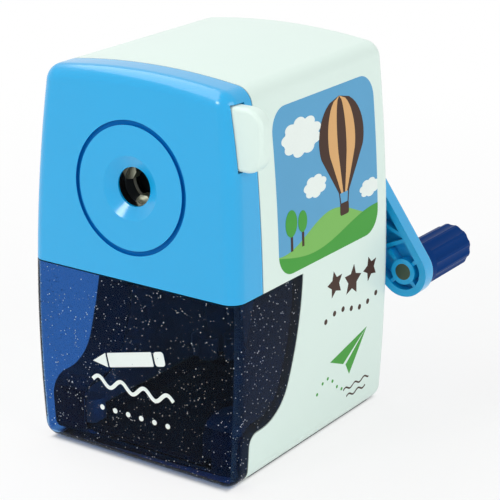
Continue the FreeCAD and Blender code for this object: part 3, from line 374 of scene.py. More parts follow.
@dataclass(frozen=True)
class Flake(Finish):
    """Silvery fleck, some bright and some dull."""

    dull: Colour = (0.22, 0.27, 0.33)
    patch: float = 260.0
    patch_edge: Flat = (0.35, 0.65)
    metal: float = 0.35
    roughness: float = 0.5
    shine: float = 0.2

    def surface(self, graph: Graph) -> Wire:
        """Join up the fleck's shader.

        Args:
            graph: the material's node tree.

        Returns:
            The shader.
        """
        bright = graph.noise(graph.place(), self.patch, detail=1.0).step(*self.patch_edge)
        return graph.wire("ShaderNodeBsdfPrincipled", None, {
            "Base Color": graph.mix(bright, (*self.dull, 1), (*self.colour, 1)),
            "Metallic": self.metal,
            "Roughness": self.roughness - bright * self.shine,
        })


@dataclass(frozen=True)
class Ink(Finish):
    """Printed film with a slight speckle."""

    roughness: float = 0.36
    speckle: float = 2400.0
    speckle_matt: float = 0.06
    drift: float = 70.0
    drift_share: float = 0.6
    spread: float = 0.06
    gloss: float = 0.15

    def surface(self, graph: Graph) -> Wire:
        """Join up the print's shader.

        Args:
            graph: the material's node tree.

        Returns:
            The shader.
        """
        where = graph.place()
        speckle = graph.noise(where, self.speckle, detail=1.0)
        drift = graph.noise(where, self.drift)
        share = speckle * (1 - self.drift_share) + drift * self.drift_share
        return graph.wire("ShaderNodeBsdfPrincipled", None, {
            "Base Color": self.shades(graph, share, self.spread),
            "Roughness": self.roughness + speckle * self.speckle_matt,
            "Specular IOR Level": self.gloss,
        })


@dataclass(frozen=True)
class Backdrop(Finish):
    """Pale floor that the lens sees nearly white, with the sharpener's shadow on it, in metres."""

    glow: float = 0.75
    near: float = 0.12
    far: float = 0.4
    footprint: Flat = (0.0308, 0.0385)
    inset: float = 0.94
    drift: float = 3.0
    spread: float = 0.01
    roughness: float = 0.8
    gloss: float = 0.1

    def surface(self, graph: Graph) -> Wire:
        """Join up the floor's shader, which glows outside the sharpener's footprint.

        Args:
            graph: the material's node tree.

        Returns:
            The shader.
        """
        where = graph.place()
        away = graph.wire("ShaderNodeVectorMath", {"operation": "LENGTH"}, {0: where}, "Value")
        axes = graph.node("ShaderNodeSeparateXYZ", None, {0: where})
        across, along = (Wire(graph, axes.outputs[number]).size() * (1 / half)
                         for number, half in enumerate(self.footprint))
        outside = across.highest(along).step(self.inset, 1.0)
        paint_coat = graph.wire("ShaderNodeBsdfPrincipled", None, {
            "Base Color": self.shades(graph, graph.noise(where, self.drift), self.spread),
            "Roughness": self.roughness,
            "Specular IOR Level": self.gloss,
        })
        light = graph.wire("ShaderNodeEmission", None, {"Color": WHITE, "Strength": 1.0})
        open_floor = self.glow + away.step(self.near, self.far) * (1 - self.glow)
        share = graph.shown() * open_floor * outside
        return graph.wire("ShaderNodeMixShader", None, {0: share, 1: paint_coat, 2: light})


class Palette(Enum):
    """Finishes of the sharpener."""

    SHELL = Moulding("shell_gloss", linear(226, 244, 236), roughness=0.32, spread=0.012)
    SKY = Moulding("sky_gloss", linear(10, 170, 230), roughness=0.2, coat=0.3, gloss=0.5)
    SMOKE = Smoke("smoke_clear", linear(106, 153, 203))
    # Painted shade: the drawer's rim and the walls behind its front are a flat, nearly black blue, standing
    # in for the dark seam under the face and the shade inside the drawer.
    RIM_SHADE = Moulding("smoke_rim_painted_shade", linear(18, 48, 62), roughness=0.3, coat=0.0, gloss=0.1, spread=0.1)
    # Painted shade: the ring groove is a deeper, duller blue than the face, standing in for the shade in the
    # recess.
    GROOVE_SHADE = Moulding("sky_groove_painted_shade", linear(2, 112, 188), roughness=0.3, coat=0.0, gloss=0.05)
    BIN = Smoke("bin_clear", linear(190, 208, 226))
    BLACK = Moulding("black_gloss", linear(20, 20, 22), roughness=0.16, gloss=0.5, spread=0.1)
    NAVY = Moulding("navy_gloss", linear(3, 54, 119), roughness=0.3, coat=0.0, spread=0.06, gloss=0.02)
    GREY = Moulding("grey_satin", linear(52, 56, 60), roughness=0.42, coat=0.0, depth=0.12, spread=0.08)
    ACETAL = Moulding("natural_acetal", linear(216, 216, 206), roughness=0.4, coat=0.0, depth=0.06)
    RUBBER = Moulding("black_rubber", linear(26, 26, 27), roughness=0.78, coat=0.0, depth=0.35, spread=0.15,
                      gloss=0.25)
    STEEL = Metal("drawn_steel", linear(172, 172, 168))
    PLATED = Metal("bright_plating", linear(206, 207, 210), roughness=0.18, depth=0.03)
    AGED = Metal("aged_steel", linear(84, 94, 80), roughness=0.36)
    JAW = Metal("jaw_steel", linear(236, 238, 210), roughness=0.36)
    TOOL = Metal("ground_steel", linear(120, 122, 128), roughness=0.34)
    BRONZE = Metal("sintered_bronze", linear(176, 130, 74), roughness=0.4, marks=(1.0, 1.0, 1.0), depth=0.15)
    FLECK = Flake("silver_fleck", linear(214, 226, 236))
    PRINT_SKY = Ink("print_sky", linear(96, 166, 208))
    PRINT_WHITE = Ink("print_white", linear(238, 247, 242))
    PRINT_LEAF = Ink("print_leaf", linear(72, 160, 62))
    PRINT_MEADOW = Ink("print_meadow", linear(128, 190, 96))
    PRINT_BARK = Ink("print_bark", linear(66, 42, 30))
    PRINT_SAND = Ink("print_sand", linear(222, 174, 116))
    FLOOR = Backdrop("pale_floor", (0.95, 0.95, 0.95))

    def material(self) -> bpy.types.Material:
        """Material of this finish."""
        return self.value.make()


Accent = tuple[Palette, Callable[[Vector, Vector], bool]]


def new_object(name: str, data: bpy.types.ID) -> bpy.types.Object:
    """Put a new object into the scene, at the origin.

    Args:
        name: its name.
        data: its mesh, light or camera.

    Returns:
        The object.
    """
    thing = bpy.data.objects.new(name, data)
    bpy.context.scene.collection.objects.link(thing)
    return thing


def settle(thing: bpy.types.Object, body: str, slot: str, *nodes: str) -> bpy.types.Object:
    """Let a finished piece ride on a body.

    Args:
        thing: the piece.
        body: the body that carries it.
        slot: not used.
        nodes: solids that it stands for.

    Returns:
        The piece.
    """
    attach(thing, body)
    if nodes:
        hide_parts(*nodes)
    LOG.info("%s rides on %s", thing.name, body)
    return thing


def merged(node: str, gap: float = 1e-7) -> bmesh.types.BMesh:
    """Copy of a solid's mesh with its triangles joined up.

    Args:
        node: the solid.
        gap: corners closer than this become one, in metres.

    Returns:
        The copy.
    """
    copy = bmesh.new()
    copy.from_mesh(frame["nodes"][node].data)
    bmesh.ops.remove_doubles(copy, verts=copy.verts, dist=gap)
    return copy


def smooth_skin(node: str, finish: Palette, body: str, slot: str, accents: Sequence[Accent] = (),
                angle: float = 28.0) -> bpy.types.Object:
    """Smoothly shaded stand-in of a solid.

    Args:
        node: the solid.
        finish: its finish.
        body: the body that carries it.
        slot: the record's material slot.
        accents: more finishes, each with a test of place in millimetres and outward direction.
        angle: edges sharper than this stay sharp, in degrees.

    Returns:
        The piece.
    """
    copy = merged(node)
    for face in copy.faces:
        face.smooth = True
        spot = face.calc_center_median() / MM
        chosen = (number for number, (_, picks) in enumerate(accents, 1) if picks(spot, face.normal))
        face.material_index = next(chosen, 0)
    for edge in copy.edges:
        edge.smooth = len(edge.link_faces) == 2 and edge.calc_face_angle(0.0) < math.radians(angle)
    mesh = bpy.data.meshes.new(f"{node}_skin")
    copy.to_mesh(mesh)
    copy.free()
    for part in (finish, *(accent for accent, _ in accents)):
        mesh.materials.append(part.material())
    return settle(new_object(f"{node}_skin", mesh), body, slot, node)


def paint(finish: Palette, *nodes: str) -> None:
    """Give solids that stay their finish.

    Args:
        finish: the finish.
        nodes: the solids.
    """
    for node in nodes:
        slots = frame["nodes"][node].data.materials
        slots.clear()
        slots.append(finish.material())
        LOG.info("%s is dressed in %s", node, finish.value.name)


class Modifier:
    """A geometry tree under construction, with named inputs."""

    def __init__(self, name: str) -> None:
        """Start an empty tree with a geometry input and output.

        Args:
            name: the tree's name.
        """
        self.tree = bpy.data.node_groups.new(name, "GeometryNodeTree")
        self.graph = Graph(self.tree)
        self.tree.interface.new_socket("Geometry", in_out="INPUT", socket_type="NodeSocketGeometry")
        self.tree.interface.new_socket("Geometry", in_out="OUTPUT", socket_type="NodeSocketGeometry")
        self.values: dict[str, Any] = {}
        self.entry = self.graph.node("NodeGroupInput")

    def size(self, name: str, kind: str, value: Any) -> Wire:
        """Add a named input with a value.

        Args:
            name: the input's name.
            kind: its socket type, without the leading words.
            value: its value.

        Returns:
            The input's wire inside the tree.
        """
        socket = self.tree.interface.new_socket(name, in_out="INPUT", socket_type=f"NodeSocket{kind}")
        self.values[socket.identifier] = value
        return Wire(self.graph, self.entry.outputs[name])

    def geometry(self) -> Wire:
        """Wire of the geometry that comes in."""
        return Wire(self.graph, self.entry.outputs["Geometry"])

    def build(self, name: str, base: bpy.types.Mesh, made: Wire, finish: Palette) -> bpy.types.Object:
        """Run the tree on a mesh and keep the result as a plain mesh.

        Args:
            name: the new piece's name.
            base: the mesh that the tree starts from.
            made: the geometry that the tree ends in.
            finish: the finish of the result.

        Returns:
            The piece, with no modifier left on it.
        """
        material = self.size("Finish", "Material", finish.material())
        whole = self.graph.wire("GeometryNodeRealizeInstances", None, {"Geometry": made})
        dressed = self.graph.wire("GeometryNodeSetMaterial", None, {"Geometry": whole, "Material": material})
        self.graph.node("NodeGroupOutput", None, {"Geometry": dressed})
        carrier = new_object(f"{name}_carrier", base)
        modifier = carrier.modifiers.new(name, "NODES")
        modifier.node_group = self.tree
        for identifier, value in self.values.items():
            modifier[identifier] = value
        ready = carrier.evaluated_get(bpy.context.evaluated_depsgraph_get())
        mesh = bpy.data.meshes.new_from_object(ready)
        mesh.name = name
        carrier.modifiers.remove(modifier)
        bpy.data.objects.remove(carrier)
        return new_object(name, mesh)


class Lie(Enum):
    """Ways that a spring lies: its axis, and the turn that lays an upright winding along it."""

    ACROSS = (0, (0.0, math.pi / 2, 0.0))
    REARWARD = (1, (-math.pi / 2, 0.0, 0.0))

    def __init__(self, axis: int, turn: Place) -> None:
        """Keep the axis's number and the turn."""
        self.axis = axis
        self.turn = turn


@dataclass
class Coil:
    """Compression spring that fills the box of its solid."""

    name: str
    body: str
    joint: str
    lie: Lie
    wire: float
    turns: float
    points_a_turn: int = 28
    wire_sides: int = 10

    def build(self) -> None:
        """Wind the spring."""
        low, high = corners(self.name)
        along = self.lie.axis
        foot = [(first + last) / 2 for first, last in zip(low, high)]
        foot[along] = low[along]
        start = Vector(foot) * MM
        axis = Vector((0, 0, 0))
        axis[along] = 1
        length = (high[along] - low[along]) * MM
        stroke = next(joint["range_m"][1] for joint in frame["joints"] if joint["name"] == self.joint)
        tree = Modifier(f"{self.name}_winding")
        rise = tree.size("Length", "Float", length - self.wire * MM)
        radius = tree.size("Radius", "Float", (high[2] - low[2] - self.wire) / 2 * MM)
        turns = tree.size("Turns", "Float", self.turns)
        thickness = tree.size("Wire radius", "Float", self.wire / 2 * MM)
        graph = tree.graph
        path = graph.wire("GeometryNodeCurveSpiral", None, {
            "Resolution": self.points_a_turn, "Rotations": turns, "Height": rise, "Start Radius": radius,
            "End Radius": radius})
        profile = graph.wire("GeometryNodeCurvePrimitiveCircle", None, {
            "Resolution": self.wire_sides, "Radius": thickness})
        tube = graph.wire("GeometryNodeCurveToMesh", None, {
            "Curve": path, "Profile Curve": profile, "Fill Caps": True})
        soft = graph.wire("GeometryNodeSetShadeSmooth", None, {"Geometry": tube})
        placed = graph.wire("GeometryNodeTransform", None, {
            "Geometry": soft, "Translation": start + axis * self.wire * MM / 2, "Rotation": self.lie.turn})
        base = bpy.data.meshes.new(f"{self.name}_base")
        piece = tree.build(f"{self.name}_winding", base, placed, Palette.STEEL)
        settle(piece, self.body, "steel", self.name)
        (length - stroke) / length
        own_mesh(piece)


def rounded_box(low: Flat, high: Flat, radius: float, steps: int = 10) -> Outline:
    """Outline of a rectangle with round corners.

    Args:
        low: its lower left corner.
        high: its upper right corner.
        radius: the corners' radius.
        steps: edges of each corner.

    Returns:
        The outline.
    """
    outline = []
    middles = ((high[0] - radius, high[1] - radius), (low[0] + radius, high[1] - radius),
               (low[0] + radius, low[1] + radius), (high[0] - radius, low[1] + radius))
    for quarter, middle in enumerate(middles):
        for step in range(steps + 1):
            angle = (quarter + step / steps) * math.pi / 2
            outline.append((middle[0] + radius * math.cos(angle), middle[1] + radius * math.sin(angle)))
    return outline


def disc(middle: Flat, wide: float, tall: float, sides: int = 40) -> Outline:
    """Outline of an ellipse with the given half sizes."""
    angles = [turn * math.tau / sides for turn in range(sides)]
    return [(middle[0] + wide * math.cos(angle), middle[1] + tall * math.sin(angle)) for angle in angles]


def puff(middle: Flat, wide: float, tall: float, lobes: int, dent: float = 0.2, phase: float = 0.4,
         fullness: float = 0.7, sides: int = 112) -> Outline:
    """Outline of a scalloped cloud.

    Args:
        middle: its middle.
        wide: half its width.
        tall: half its height.
        lobes: how many scallops it has.
        dent: depth of the dents between them, as a share of its size.
        phase: where the first dent is, in radians.
        fullness: power that rounds the scallops, fuller when it is lower.
        sides: edges of the outline.

    Returns:
        The outline.
    """
    outline = []
    for x, y in disc((0.0, 0.0), 1.0, 1.0, sides):
        reach = 1 - dent + dent * abs(math.sin(lobes * (math.atan2(y, x) % math.tau) / 2 + phase)) ** fullness
        outline.append((middle[0] + wide * reach * x, middle[1] + tall * reach * y))
    return outline


def star(middle: Flat, radius: float, lean: float, points: int = 5, waist: float = 0.5) -> Outline:
    """Outline of a soft star.

    Args:
        middle: its middle.
        radius: reach of its points.
        lean: its turn from upright, in radians.
        points: how many points it has.
        waist: reach of the corners between them, as a share of the radius.

    Returns:
        The outline.
    """
    outline = []
    for corner in range(2 * points):
        angle = lean + math.pi / 2 + corner * math.pi / points
        reach = radius if corner % 2 == 0 else radius * waist
        outline.append((middle[0] + reach * math.cos(angle), middle[1] + reach * math.sin(angle)))
    return outline


def ribbon(path: Sequence[Flat], width: float) -> Outline:
    """Outline of a stroke of even width.

    Args:
        path: the stroke's middle line.
        width: its width.

    Returns:
        The outline.
    """
    left, right = [], []
    for place, (x, y) in enumerate(path):
        before = path[max(place - 1, 0)]
        after = path[min(place + 1, len(path) - 1)]
        run = Vector((after[0] - before[0], after[1] - before[1])).normalized() * (width / 2)
        left.append((x - run.y, y + run.x))
        right.append((x + run.y, y - run.x))
    return right + left[::-1]


def clipped(outline: Sequence[Flat], window: Sequence[Flat]) -> Outline:
    """Part of an outline inside a convex window.

    Args:
        outline: the outline.
        window: the window's outline, anticlockwise.

    Returns:
        The part that is kept.
    """
    kept = list(outline)
    for first, second in zip(window, list(window[1:]) + [window[0]]):
        edge = (second[0] - first[0], second[1] - first[1])

        def inside(spot: Flat) -> float:
            """Distance to the left of the window's edge, scaled."""
            return edge[0] * (spot[1] - first[1]) - edge[1] * (spot[0] - first[0])

        source, kept = kept, []
        for a, b in zip(source, source[1:] + source[:1]):
            da, db = inside(a), inside(b)
            if da >= 0:
                kept.append(a)
            if (da >= 0) != (db >= 0):
                share = da / (da - db)
                kept.append((a[0] + (b[0] - a[0]) * share, a[1] + (b[1] - a[1]) * share))
    return kept


@dataclass(frozen=True)
class Wave:
    """Row of places along a wavy line: the beat is the wave's turn from place to place, in radians."""

    start: Flat
    pitch: float
    count: int
    swing: float = 0.0
    beat: float = 0.0

    def places(self) -> Outline:
        """Places of the row."""
        return [(self.start[0] + self.pitch * step, self.start[1] + self.swing * math.sin(self.beat * step))
                for step in range(self.count)]

    def beads(self, radius: float, sides: int) -> list[Outline]:
        """Outlines of a dot at each place."""
        return [disc(place, radius, radius, sides) for place in self.places()]


def film(name: str, outlines: Iterable[Sequence[Flat]], face: Bow, lift: float, finish: Palette,
         strip: float = 1.6, root: float = 0.08, sliver: float = 1e-5) -> bpy.types.Object:
    """Thin closed film of one colour on a bowed face.

    Args:
        name: the piece's name.
        outlines: outlines in millimetres across and up the face.
        face: the face.
        lift: height of the film's top above the face, in millimetres.
        finish: its ink.
        strip: height of the strips that follow the bow, in millimetres.
        root: depth of the film's underside below the face, in millimetres.
        sliver: corners closer than this to a cut lie on it, in millimetres.

    Returns:
        The piece.
    """
    sheet = bmesh.new()
    for outline in outlines:
        sheet.faces.new([sheet.verts.new((across, up, 0)) for across, up in outline])
    low = min(vert.co.y for vert in sheet.verts)
    high = max(vert.co.y for vert in sheet.verts)
    bmesh.ops.triangulate(sheet, faces=sheet.faces)
    for cut in range(1, math.ceil((high - low) / strip)):
        parts = sheet.verts[:] + sheet.edges[:] + sheet.faces[:]
        level = (0, low + cut * strip, 0)
        bmesh.ops.bisect_plane(sheet, geom=parts, plane_co=level, plane_no=(0, 1, 0), dist=sliver)
    bmesh.ops.recalc_face_normals(sheet, faces=sheet.faces)
    for part in sheet.faces:
        if part.normal.z < 0:
            part.normal_flip()
    tops = bmesh.ops.extrude_face_region(sheet, geom=sheet.faces[:])["geom"]
    raised = {part for part in tops if isinstance(part, bmesh.types.BMVert)}
    for vert in sheet.verts:
        height = lift if vert in raised else -root
        vert.co = Vector(face(vert.co.x, vert.co.y, height)) * MM
    bmesh.ops.triangulate(sheet, faces=sheet.faces)
    bmesh.ops.recalc_face_normals(sheet, faces=sheet.faces)
    mesh = bpy.data.meshes.new(name)
    sheet.to_mesh(mesh)
    sheet.free()
    mesh.materials.append(finish.material())
    return new_object(name, mesh)


@dataclass(frozen=True)
class SidePrint:
    """Print on the housing's sides: a balloon over hills in a panel, and small motifs below it.

    Places are given by distance to the rear and height. A hill is its rise above the panel's foot, then the
    swell, run and phase of its ridge. The balloon's envelope, shoulder and taper are in radii.
    """

    low: Flat = (-18.6, 54.0)
    high: Flat = (30.9, 98.6)
    corner: float = 6.4
    far_hill: tuple[float, ...] = (9.0, 3.2, 7.5, 0.6)
    near_hill: tuple[float, ...] = (5.4, 2.6, 10.0, -1.4)
    ridge_steps: int = 40
    clouds: tuple[tuple[Flat, float, float, int], ...] = (
        ((-5.5, 89.0), 9.5, 5.2, 9), ((-0.5, 74.5), 5.6, 3.1, 7), ((26.6, 67.4), 5.2, 2.6, 7))
    balloon: Flat = (13.5, 84.5)
    radius: float = 11.2
    gores: int = 5
    seam_steps: int = 24
    envelope: float = 2.35
    shoulder: float = 0.35
    shoulder_half: float = 0.9368
    taper: float = 0.72
    basket_half: float = 2.2
    basket_drop: Flat = (21.4, 18.0)
    basket_corner: float = 0.7
    rope_half: Flat = (2.4, 1.8)
    rope_drop: Flat = (14.6, 18.4)
    rope_width: float = 0.45
    crowns: tuple[tuple[Flat, float, float], ...] = (((-12.5, 67.5), 2.7, 3.6), ((-7.2, 66.8), 2.1, 2.9))
    trunk: Flat = (60.0, 65.5)
    trunk_width: float = 1.0
    stars: tuple[tuple[Flat, float, float], ...] = (
        ((8.5, 44.6), 4.0, 0.2), ((17.6, 43.0), 4.6, -0.15), ((27.0, 43.8), 3.8, 0.3))
    dots: Wave = Wave((4.0, 35.0), 4.4, 7, swing=1.2, beat=1.1)
    dot_radius: float = 0.8
    breeze: tuple[Wave, ...] = (Wave((15.0, 10.6), 0.6, 24, swing=0.5, beat=0.75),
                                Wave((17.0, 8.0), 0.6, 18, swing=0.5, beat=0.75))
    breeze_width: float = 0.5
    wings: tuple[tuple[Flat, ...], ...] = (((7.0, 22.0), (26.0, 26.5), (14.0, 19.1)),
                                           ((15.4, 18.5), (26.0, 26.5), (17.6, 14.9)))
    trail: Wave = Wave((1.0, 14.5), 2.6, 6, swing=3.0, beat=0.9)
    trail_radius: float = 0.5

    def layers(self) -> list[tuple[str, list[Sequence[Flat]], Palette, int]]:
        """Draw the films of the print.

        Returns:
            Name, outlines, ink and level of each film.
        """
        window = rounded_box(self.low, self.high, self.corner)
        far, near = (clipped(self.ground(*hill), window) for hill in (self.far_hill, self.near_hill))
        clouds = [clipped(puff(*cloud), window) for cloud in self.clouds]
        dark_gores = self.balloon_gores(range(0, self.gores, 2))
        light_gores = self.balloon_gores(range(1, self.gores, 2))
        crowns = [disc(*crown) for crown in self.crowns]
        trunks = [ribbon([(along, height) for height in self.trunk], self.trunk_width)
                  for (along, _), *_ in self.crowns]
        stars = [star(*shape) for shape in self.stars]
        dots = self.dots.beads(self.dot_radius, sides=20)
        breeze = [ribbon(wave.places(), self.breeze_width) for wave in self.breeze]
        trail = self.trail.beads(self.trail_radius, sides=16)
        return [
            ("panel", [window], Palette.PRINT_SKY, 0),
            ("far_hill", [far], Palette.PRINT_MEADOW, 1),
            ("near_hill", [near], Palette.PRINT_LEAF, 2),
            ("clouds", clouds, Palette.PRINT_WHITE, 3),
            ("balloon_dark", dark_gores + self.basket(), Palette.PRINT_BARK, 4),
            ("balloon_light", light_gores, Palette.PRINT_SAND, 5),
            ("trunks", trunks, Palette.PRINT_BARK, 6),
            ("crowns", crowns, Palette.PRINT_LEAF, 7),
            ("stars", stars + dots + breeze, Palette.PRINT_BARK, 0),
            ("paper_plane", [*self.wings, *trail], Palette.PRINT_LEAF, 0),
        ]

    def ground(self, rise: float, swell: float, run: float, phase: float) -> Outline:
        """Outline of a hill as wide as the panel.

        Args:
            rise: mean height of its ridge above the panel's foot.
            swell: height of the ridge's waves.
            run: length of a wave, for each radian.
            phase: place of the first wave, in radians.

        Returns:
            The outline, from the foot round over the ridge.
        """
        start, end, foot = self.low[0], self.high[0], self.low[1]
        ridge = [end + (start - end) * step / self.ridge_steps for step in range(self.ridge_steps + 1)]
        crest = [(along, foot + rise + swell * math.sin(along / run + phase)) for along in ridge]
        return [(start, foot), (end, foot), *crest]

    def seam(self, edge: int) -> Outline:
        """Seam between two gores of the balloon.

        Args:
            edge: its number, from 0 at the left edge.

        Returns:
            Its places, from the top down.
        """
        share = edge / (self.gores / 2) - 1
        line = []
        for step in range(self.seam_steps + 1):
            up = self.radius - step / self.seam_steps * self.radius * self.envelope
            if up > -self.radius * self.shoulder:
                bulge = math.sqrt(max(0.0, 1 - min(1.0, up / self.radius) ** 2))
            else:
                bulge = self.shoulder_half - self.taper * (-up / self.radius - self.shoulder)
            line.append((self.balloon[0] + share * self.radius * bulge, self.balloon[1] + up))
        return line

    def balloon_gores(self, picked: Iterable[int]) -> list[Outline]:
        """Outlines of some of the balloon's upright gores, which meet at its top."""
        return [self.seam(gore) + self.seam(gore + 1)[:0:-1] for gore in picked]

    def basket(self) -> list[Outline]:
        """Draw the balloon's basket.

        Returns:
            Outlines of the basket and its two ropes.
        """
        along, height = self.balloon
        low = (along - self.basket_half, height - self.basket_drop[0])
        high = (along + self.basket_half, height - self.basket_drop[1])
        ropes = [[(along + side * half, height - drop) for half, drop in zip(self.rope_half, self.rope_drop)]
                 for side in (1, -1)]
        box = rounded_box(low, high, self.basket_corner, steps=4)
        return [box, *(ribbon(rope, self.rope_width) for rope in ropes)]


@dataclass
class Housing:
    """White shell with its base, the parts fixed to them and the print on its bowed sides."""

    half_width: float = corners("housing_shell")[1][0]
    bow: float = 524.0
    widest: float = 40.1
    film_lift: float = 0.03
    film_step: float = 0.012

    def side(self, sign: int) -> Bow:
        """Bowed side of the shell.

        Args:
            sign: +1 for the right side and -1 for the left.

        Returns:
            The side, as a function that gives its places.
        """
        def point(along: float, up: float, lift: float) -> Place:
            """Place on the side, by its distance to the rear and its height."""
            reach = self.half_width - self.bow + math.sqrt(self.bow ** 2 - (up - self.widest) ** 2)
            return sign * (reach + lift), along, up
        return point

    def build(self) -> None:
        """Dress the shell, the base and the parts fixed to them."""
        smooth_skin("housing_shell", Palette.SHELL, "housing", "white_shell")
        paint(Palette.GREY, "base_plate", "bulkhead")
        paint(Palette.RUBBER, "anti_slip_pads")
        paint(Palette.PLATED, "base_screws", "bulkhead_screws")
        paint(Palette.ACETAL, "guide_bushes", "ring_gear")
        paint(Palette.BRONZE, "rear_bush")
        for label, sign in (("right", 1), ("left", -1)):
            for part, outlines, finish, level in SidePrint().layers():
                lift = self.film_lift + self.film_step * level
                piece = film(f"{label}_print_{part}", outlines, self.side(sign), lift, finish)
                settle(piece, "housing", "white_shell")


@dataclass(frozen=True)
class Pictogram:
    """Pencil over a wavy line and a row of dots, by distance to the right and height.

    The pencil's own sizes are along it from its middle, before it leans.
    """

    middle: Flat = (-0.5, 30.6)
    lean: float = math.radians(14)
    half: float = 2.0
    shaft: Flat = (-7.2, 8.0)
    shaft_corner: float = 0.3
    point: Flat = (-7.8, -12.6)
    rubber: Flat = (8.7, 12.0)
    rubber_corner: float = 0.9
    wave: Wave = Wave((-13.0, 22.2), 0.5, 55, swing=1.3, beat=0.41)
    wave_width: float = 1.1
    dots: Wave = Wave((-10.0, 14.6), 4.4, 6)
    dot_radius: float = 0.75

    def turned(self, spots: Sequence[Flat]) -> Outline:
        """Outline turned with the pencil about its middle."""
        cosine, sine = math.cos(self.lean), math.sin(self.lean)
        return [(self.middle[0] + x * cosine - y * sine, self.middle[1] + x * sine + y * cosine)
                for x, y in spots]

    def outlines(self) -> list[Outline]:
        """Draw the pictogram.

        Returns:
            Its outlines.
        """
        half = self.half
        shaft = rounded_box((self.shaft[0], -half), (self.shaft[1], half), self.shaft_corner, steps=3)
        point = [(self.point[0], -half), (self.point[0], half), (self.point[1], 0.0)]
        rubber = rounded_box((self.rubber[0], -half), (self.rubber[1], half), self.rubber_corner, steps=6)
        pencil = [self.turned(part) for part in (shaft, point, rubber)]
        wave = ribbon(self.wave.places(), self.wave_width)
        return [*pencil, wave, *self.dots.beads(self.dot_radius, sides=20)]


@dataclass
class Drawer:
    """Smoked drawer with silver flecks in its skin and a white pictogram on its front.

    The density of the flecks is in pieces for each square metre.
    """

    front: float = corners("shavings_drawer")[0][1]
    bow: float = 1150.0
    bow_height: float = 20.5
    corner: float = 6.0
    top: float = 52.0
    rim_lean: float = 0.1
    bin_half: float = 21.6
    bin_depth: float = 2.6
    bin_low: float = 2.0
    bin_high: float = 47.4
    skin_lean: float = 0.3
    skin_depth: float = 4.4
    skin_low: float = 2.0
    skin_rear: float = -7.5
    film_lift: float = 0.04
    density: float = 220000.0
    fleck: float = 0.13
    fleck_sides: int = 5
    fleck_range: Flat = (0.5, 1.3)
    seed: int = 7

    def face(self, across: float, up: float, lift: float) -> Place:
        """Place on the bowed front, by its distance to the right and its height."""
        back = self.bow - math.sqrt(self.bow ** 2 - (up - self.bow_height) ** 2)
        return across, self.front + back - lift, up

    def build(self) -> None:
        """Dress the drawer."""
        # The rim and the walls behind the front get painted shade; the bin keeps a clear tint.
        accents = ((Palette.RIM_SHADE, self.on_shaded_rim), (Palette.BIN, self.in_bin))
        smooth_skin("shavings_drawer", Palette.SMOKE, "drawer", "smoke_plastic", accents)
        settle(self.flecks(), "drawer", "smoke_plastic")
        pictogram = film("drawer_pictogram", Pictogram().outlines(), self.face, self.film_lift,
                         Palette.PRINT_WHITE)
        settle(pictogram, "drawer", "smoke_plastic")

    def in_bin(self, spot: Vector, outward: Vector) -> bool:
        """Whether a place on the drawer is on the bin behind its front."""
        level = self.bin_low < spot.z < self.bin_high
        return level and abs(spot.x) < self.bin_half and spot.y > self.front + self.bin_depth

    def on_shaded_rim(self, spot: Vector, outward: Vector) -> bool:
        """Whether a place on the drawer is on the rim that closes its front shell, which is painted dark as
        shade.
        """
        behind = abs(outward.x) < self.rim_lean and spot.y > self.front + self.corner
        return spot.z > self.top or (behind and not self.in_bin(spot, outward))

    def on_skin(self, spot: Vector, outward: Vector) -> bool:
        """Whether a place on the drawer is on its outer front or sides.

        Args:
            spot: the place, in millimetres.
            outward: the outward direction there.

        Returns:
            True on the outer front and sides.
        """
        reach = Housing().side(1)(0, spot.z, 0)[0]
        ahead = self.face(0, spot.z, 0)[1]
        outside = max(abs(spot.x) - reach, ahead - spot.y)
        faces_out = outward.y < -self.skin_lean or outward.x * spot.x > self.skin_lean * abs(spot.x)
        level = spot.z >= self.skin_low and spot.y <= self.skin_rear
        return faces_out and level and outside >= -self.skin_depth

    def outer_skin(self) -> bpy.types.Mesh:
        """Cut out the drawer's front and sides.

        Returns:
            A mesh to scatter the flecks on.
        """
        copy = merged("shavings_drawer")
        hidden = [face for face in copy.faces
                  if not self.on_skin(face.calc_center_median() / MM, face.normal)]
        bmesh.ops.delete(copy, geom=hidden, context="FACES")
        mesh = bpy.data.meshes.new("drawer_outer_skin")
        copy.to_mesh(mesh)
        copy.free()
        return mesh

    def flecks(self) -> bpy.types.Object:
        """Scatter silver flecks just proud of the skin.

        Returns:
            The flecks, as one piece.
        """
        tree = Modifier("fleck_scatter")
        density = tree.size("Density", "Float", self.density)
        radius = tree.size("Fleck radius", "Float", self.fleck * MM)
        seed = tree.size("Seed", "Int", self.seed)
        depth = tree.size("Fleck depth", "Float", self.fleck * MM / 2)
        graph = tree.graph
        spots = graph.node("GeometryNodeDistributePointsOnFaces", {"distribute_method": "RANDOM"}, {
            "Mesh": tree.geometry(), "Density": density, "Seed": seed})
        points, turn = (Wire(graph, spots.outputs[name]) for name in ("Points", "Rotation"))
        smallest, largest = self.fleck_range
        scale = graph.wire("FunctionNodeRandomValue", {"data_type": "FLOAT"}, {
            2: smallest, 3: largest, "Seed": seed}, 1)
        flake = graph.wire("GeometryNodeMeshCylinder", None, {
            "Vertices": self.fleck_sides, "Radius": radius, "Depth": depth})
        placed = graph.wire("GeometryNodeInstanceOnPoints", None, {
            "Points": points, "Instance": flake, "Rotation": turn, "Scale": scale})
        return tree.build("drawer_flecks", self.outer_skin(), placed, Palette.FLECK)


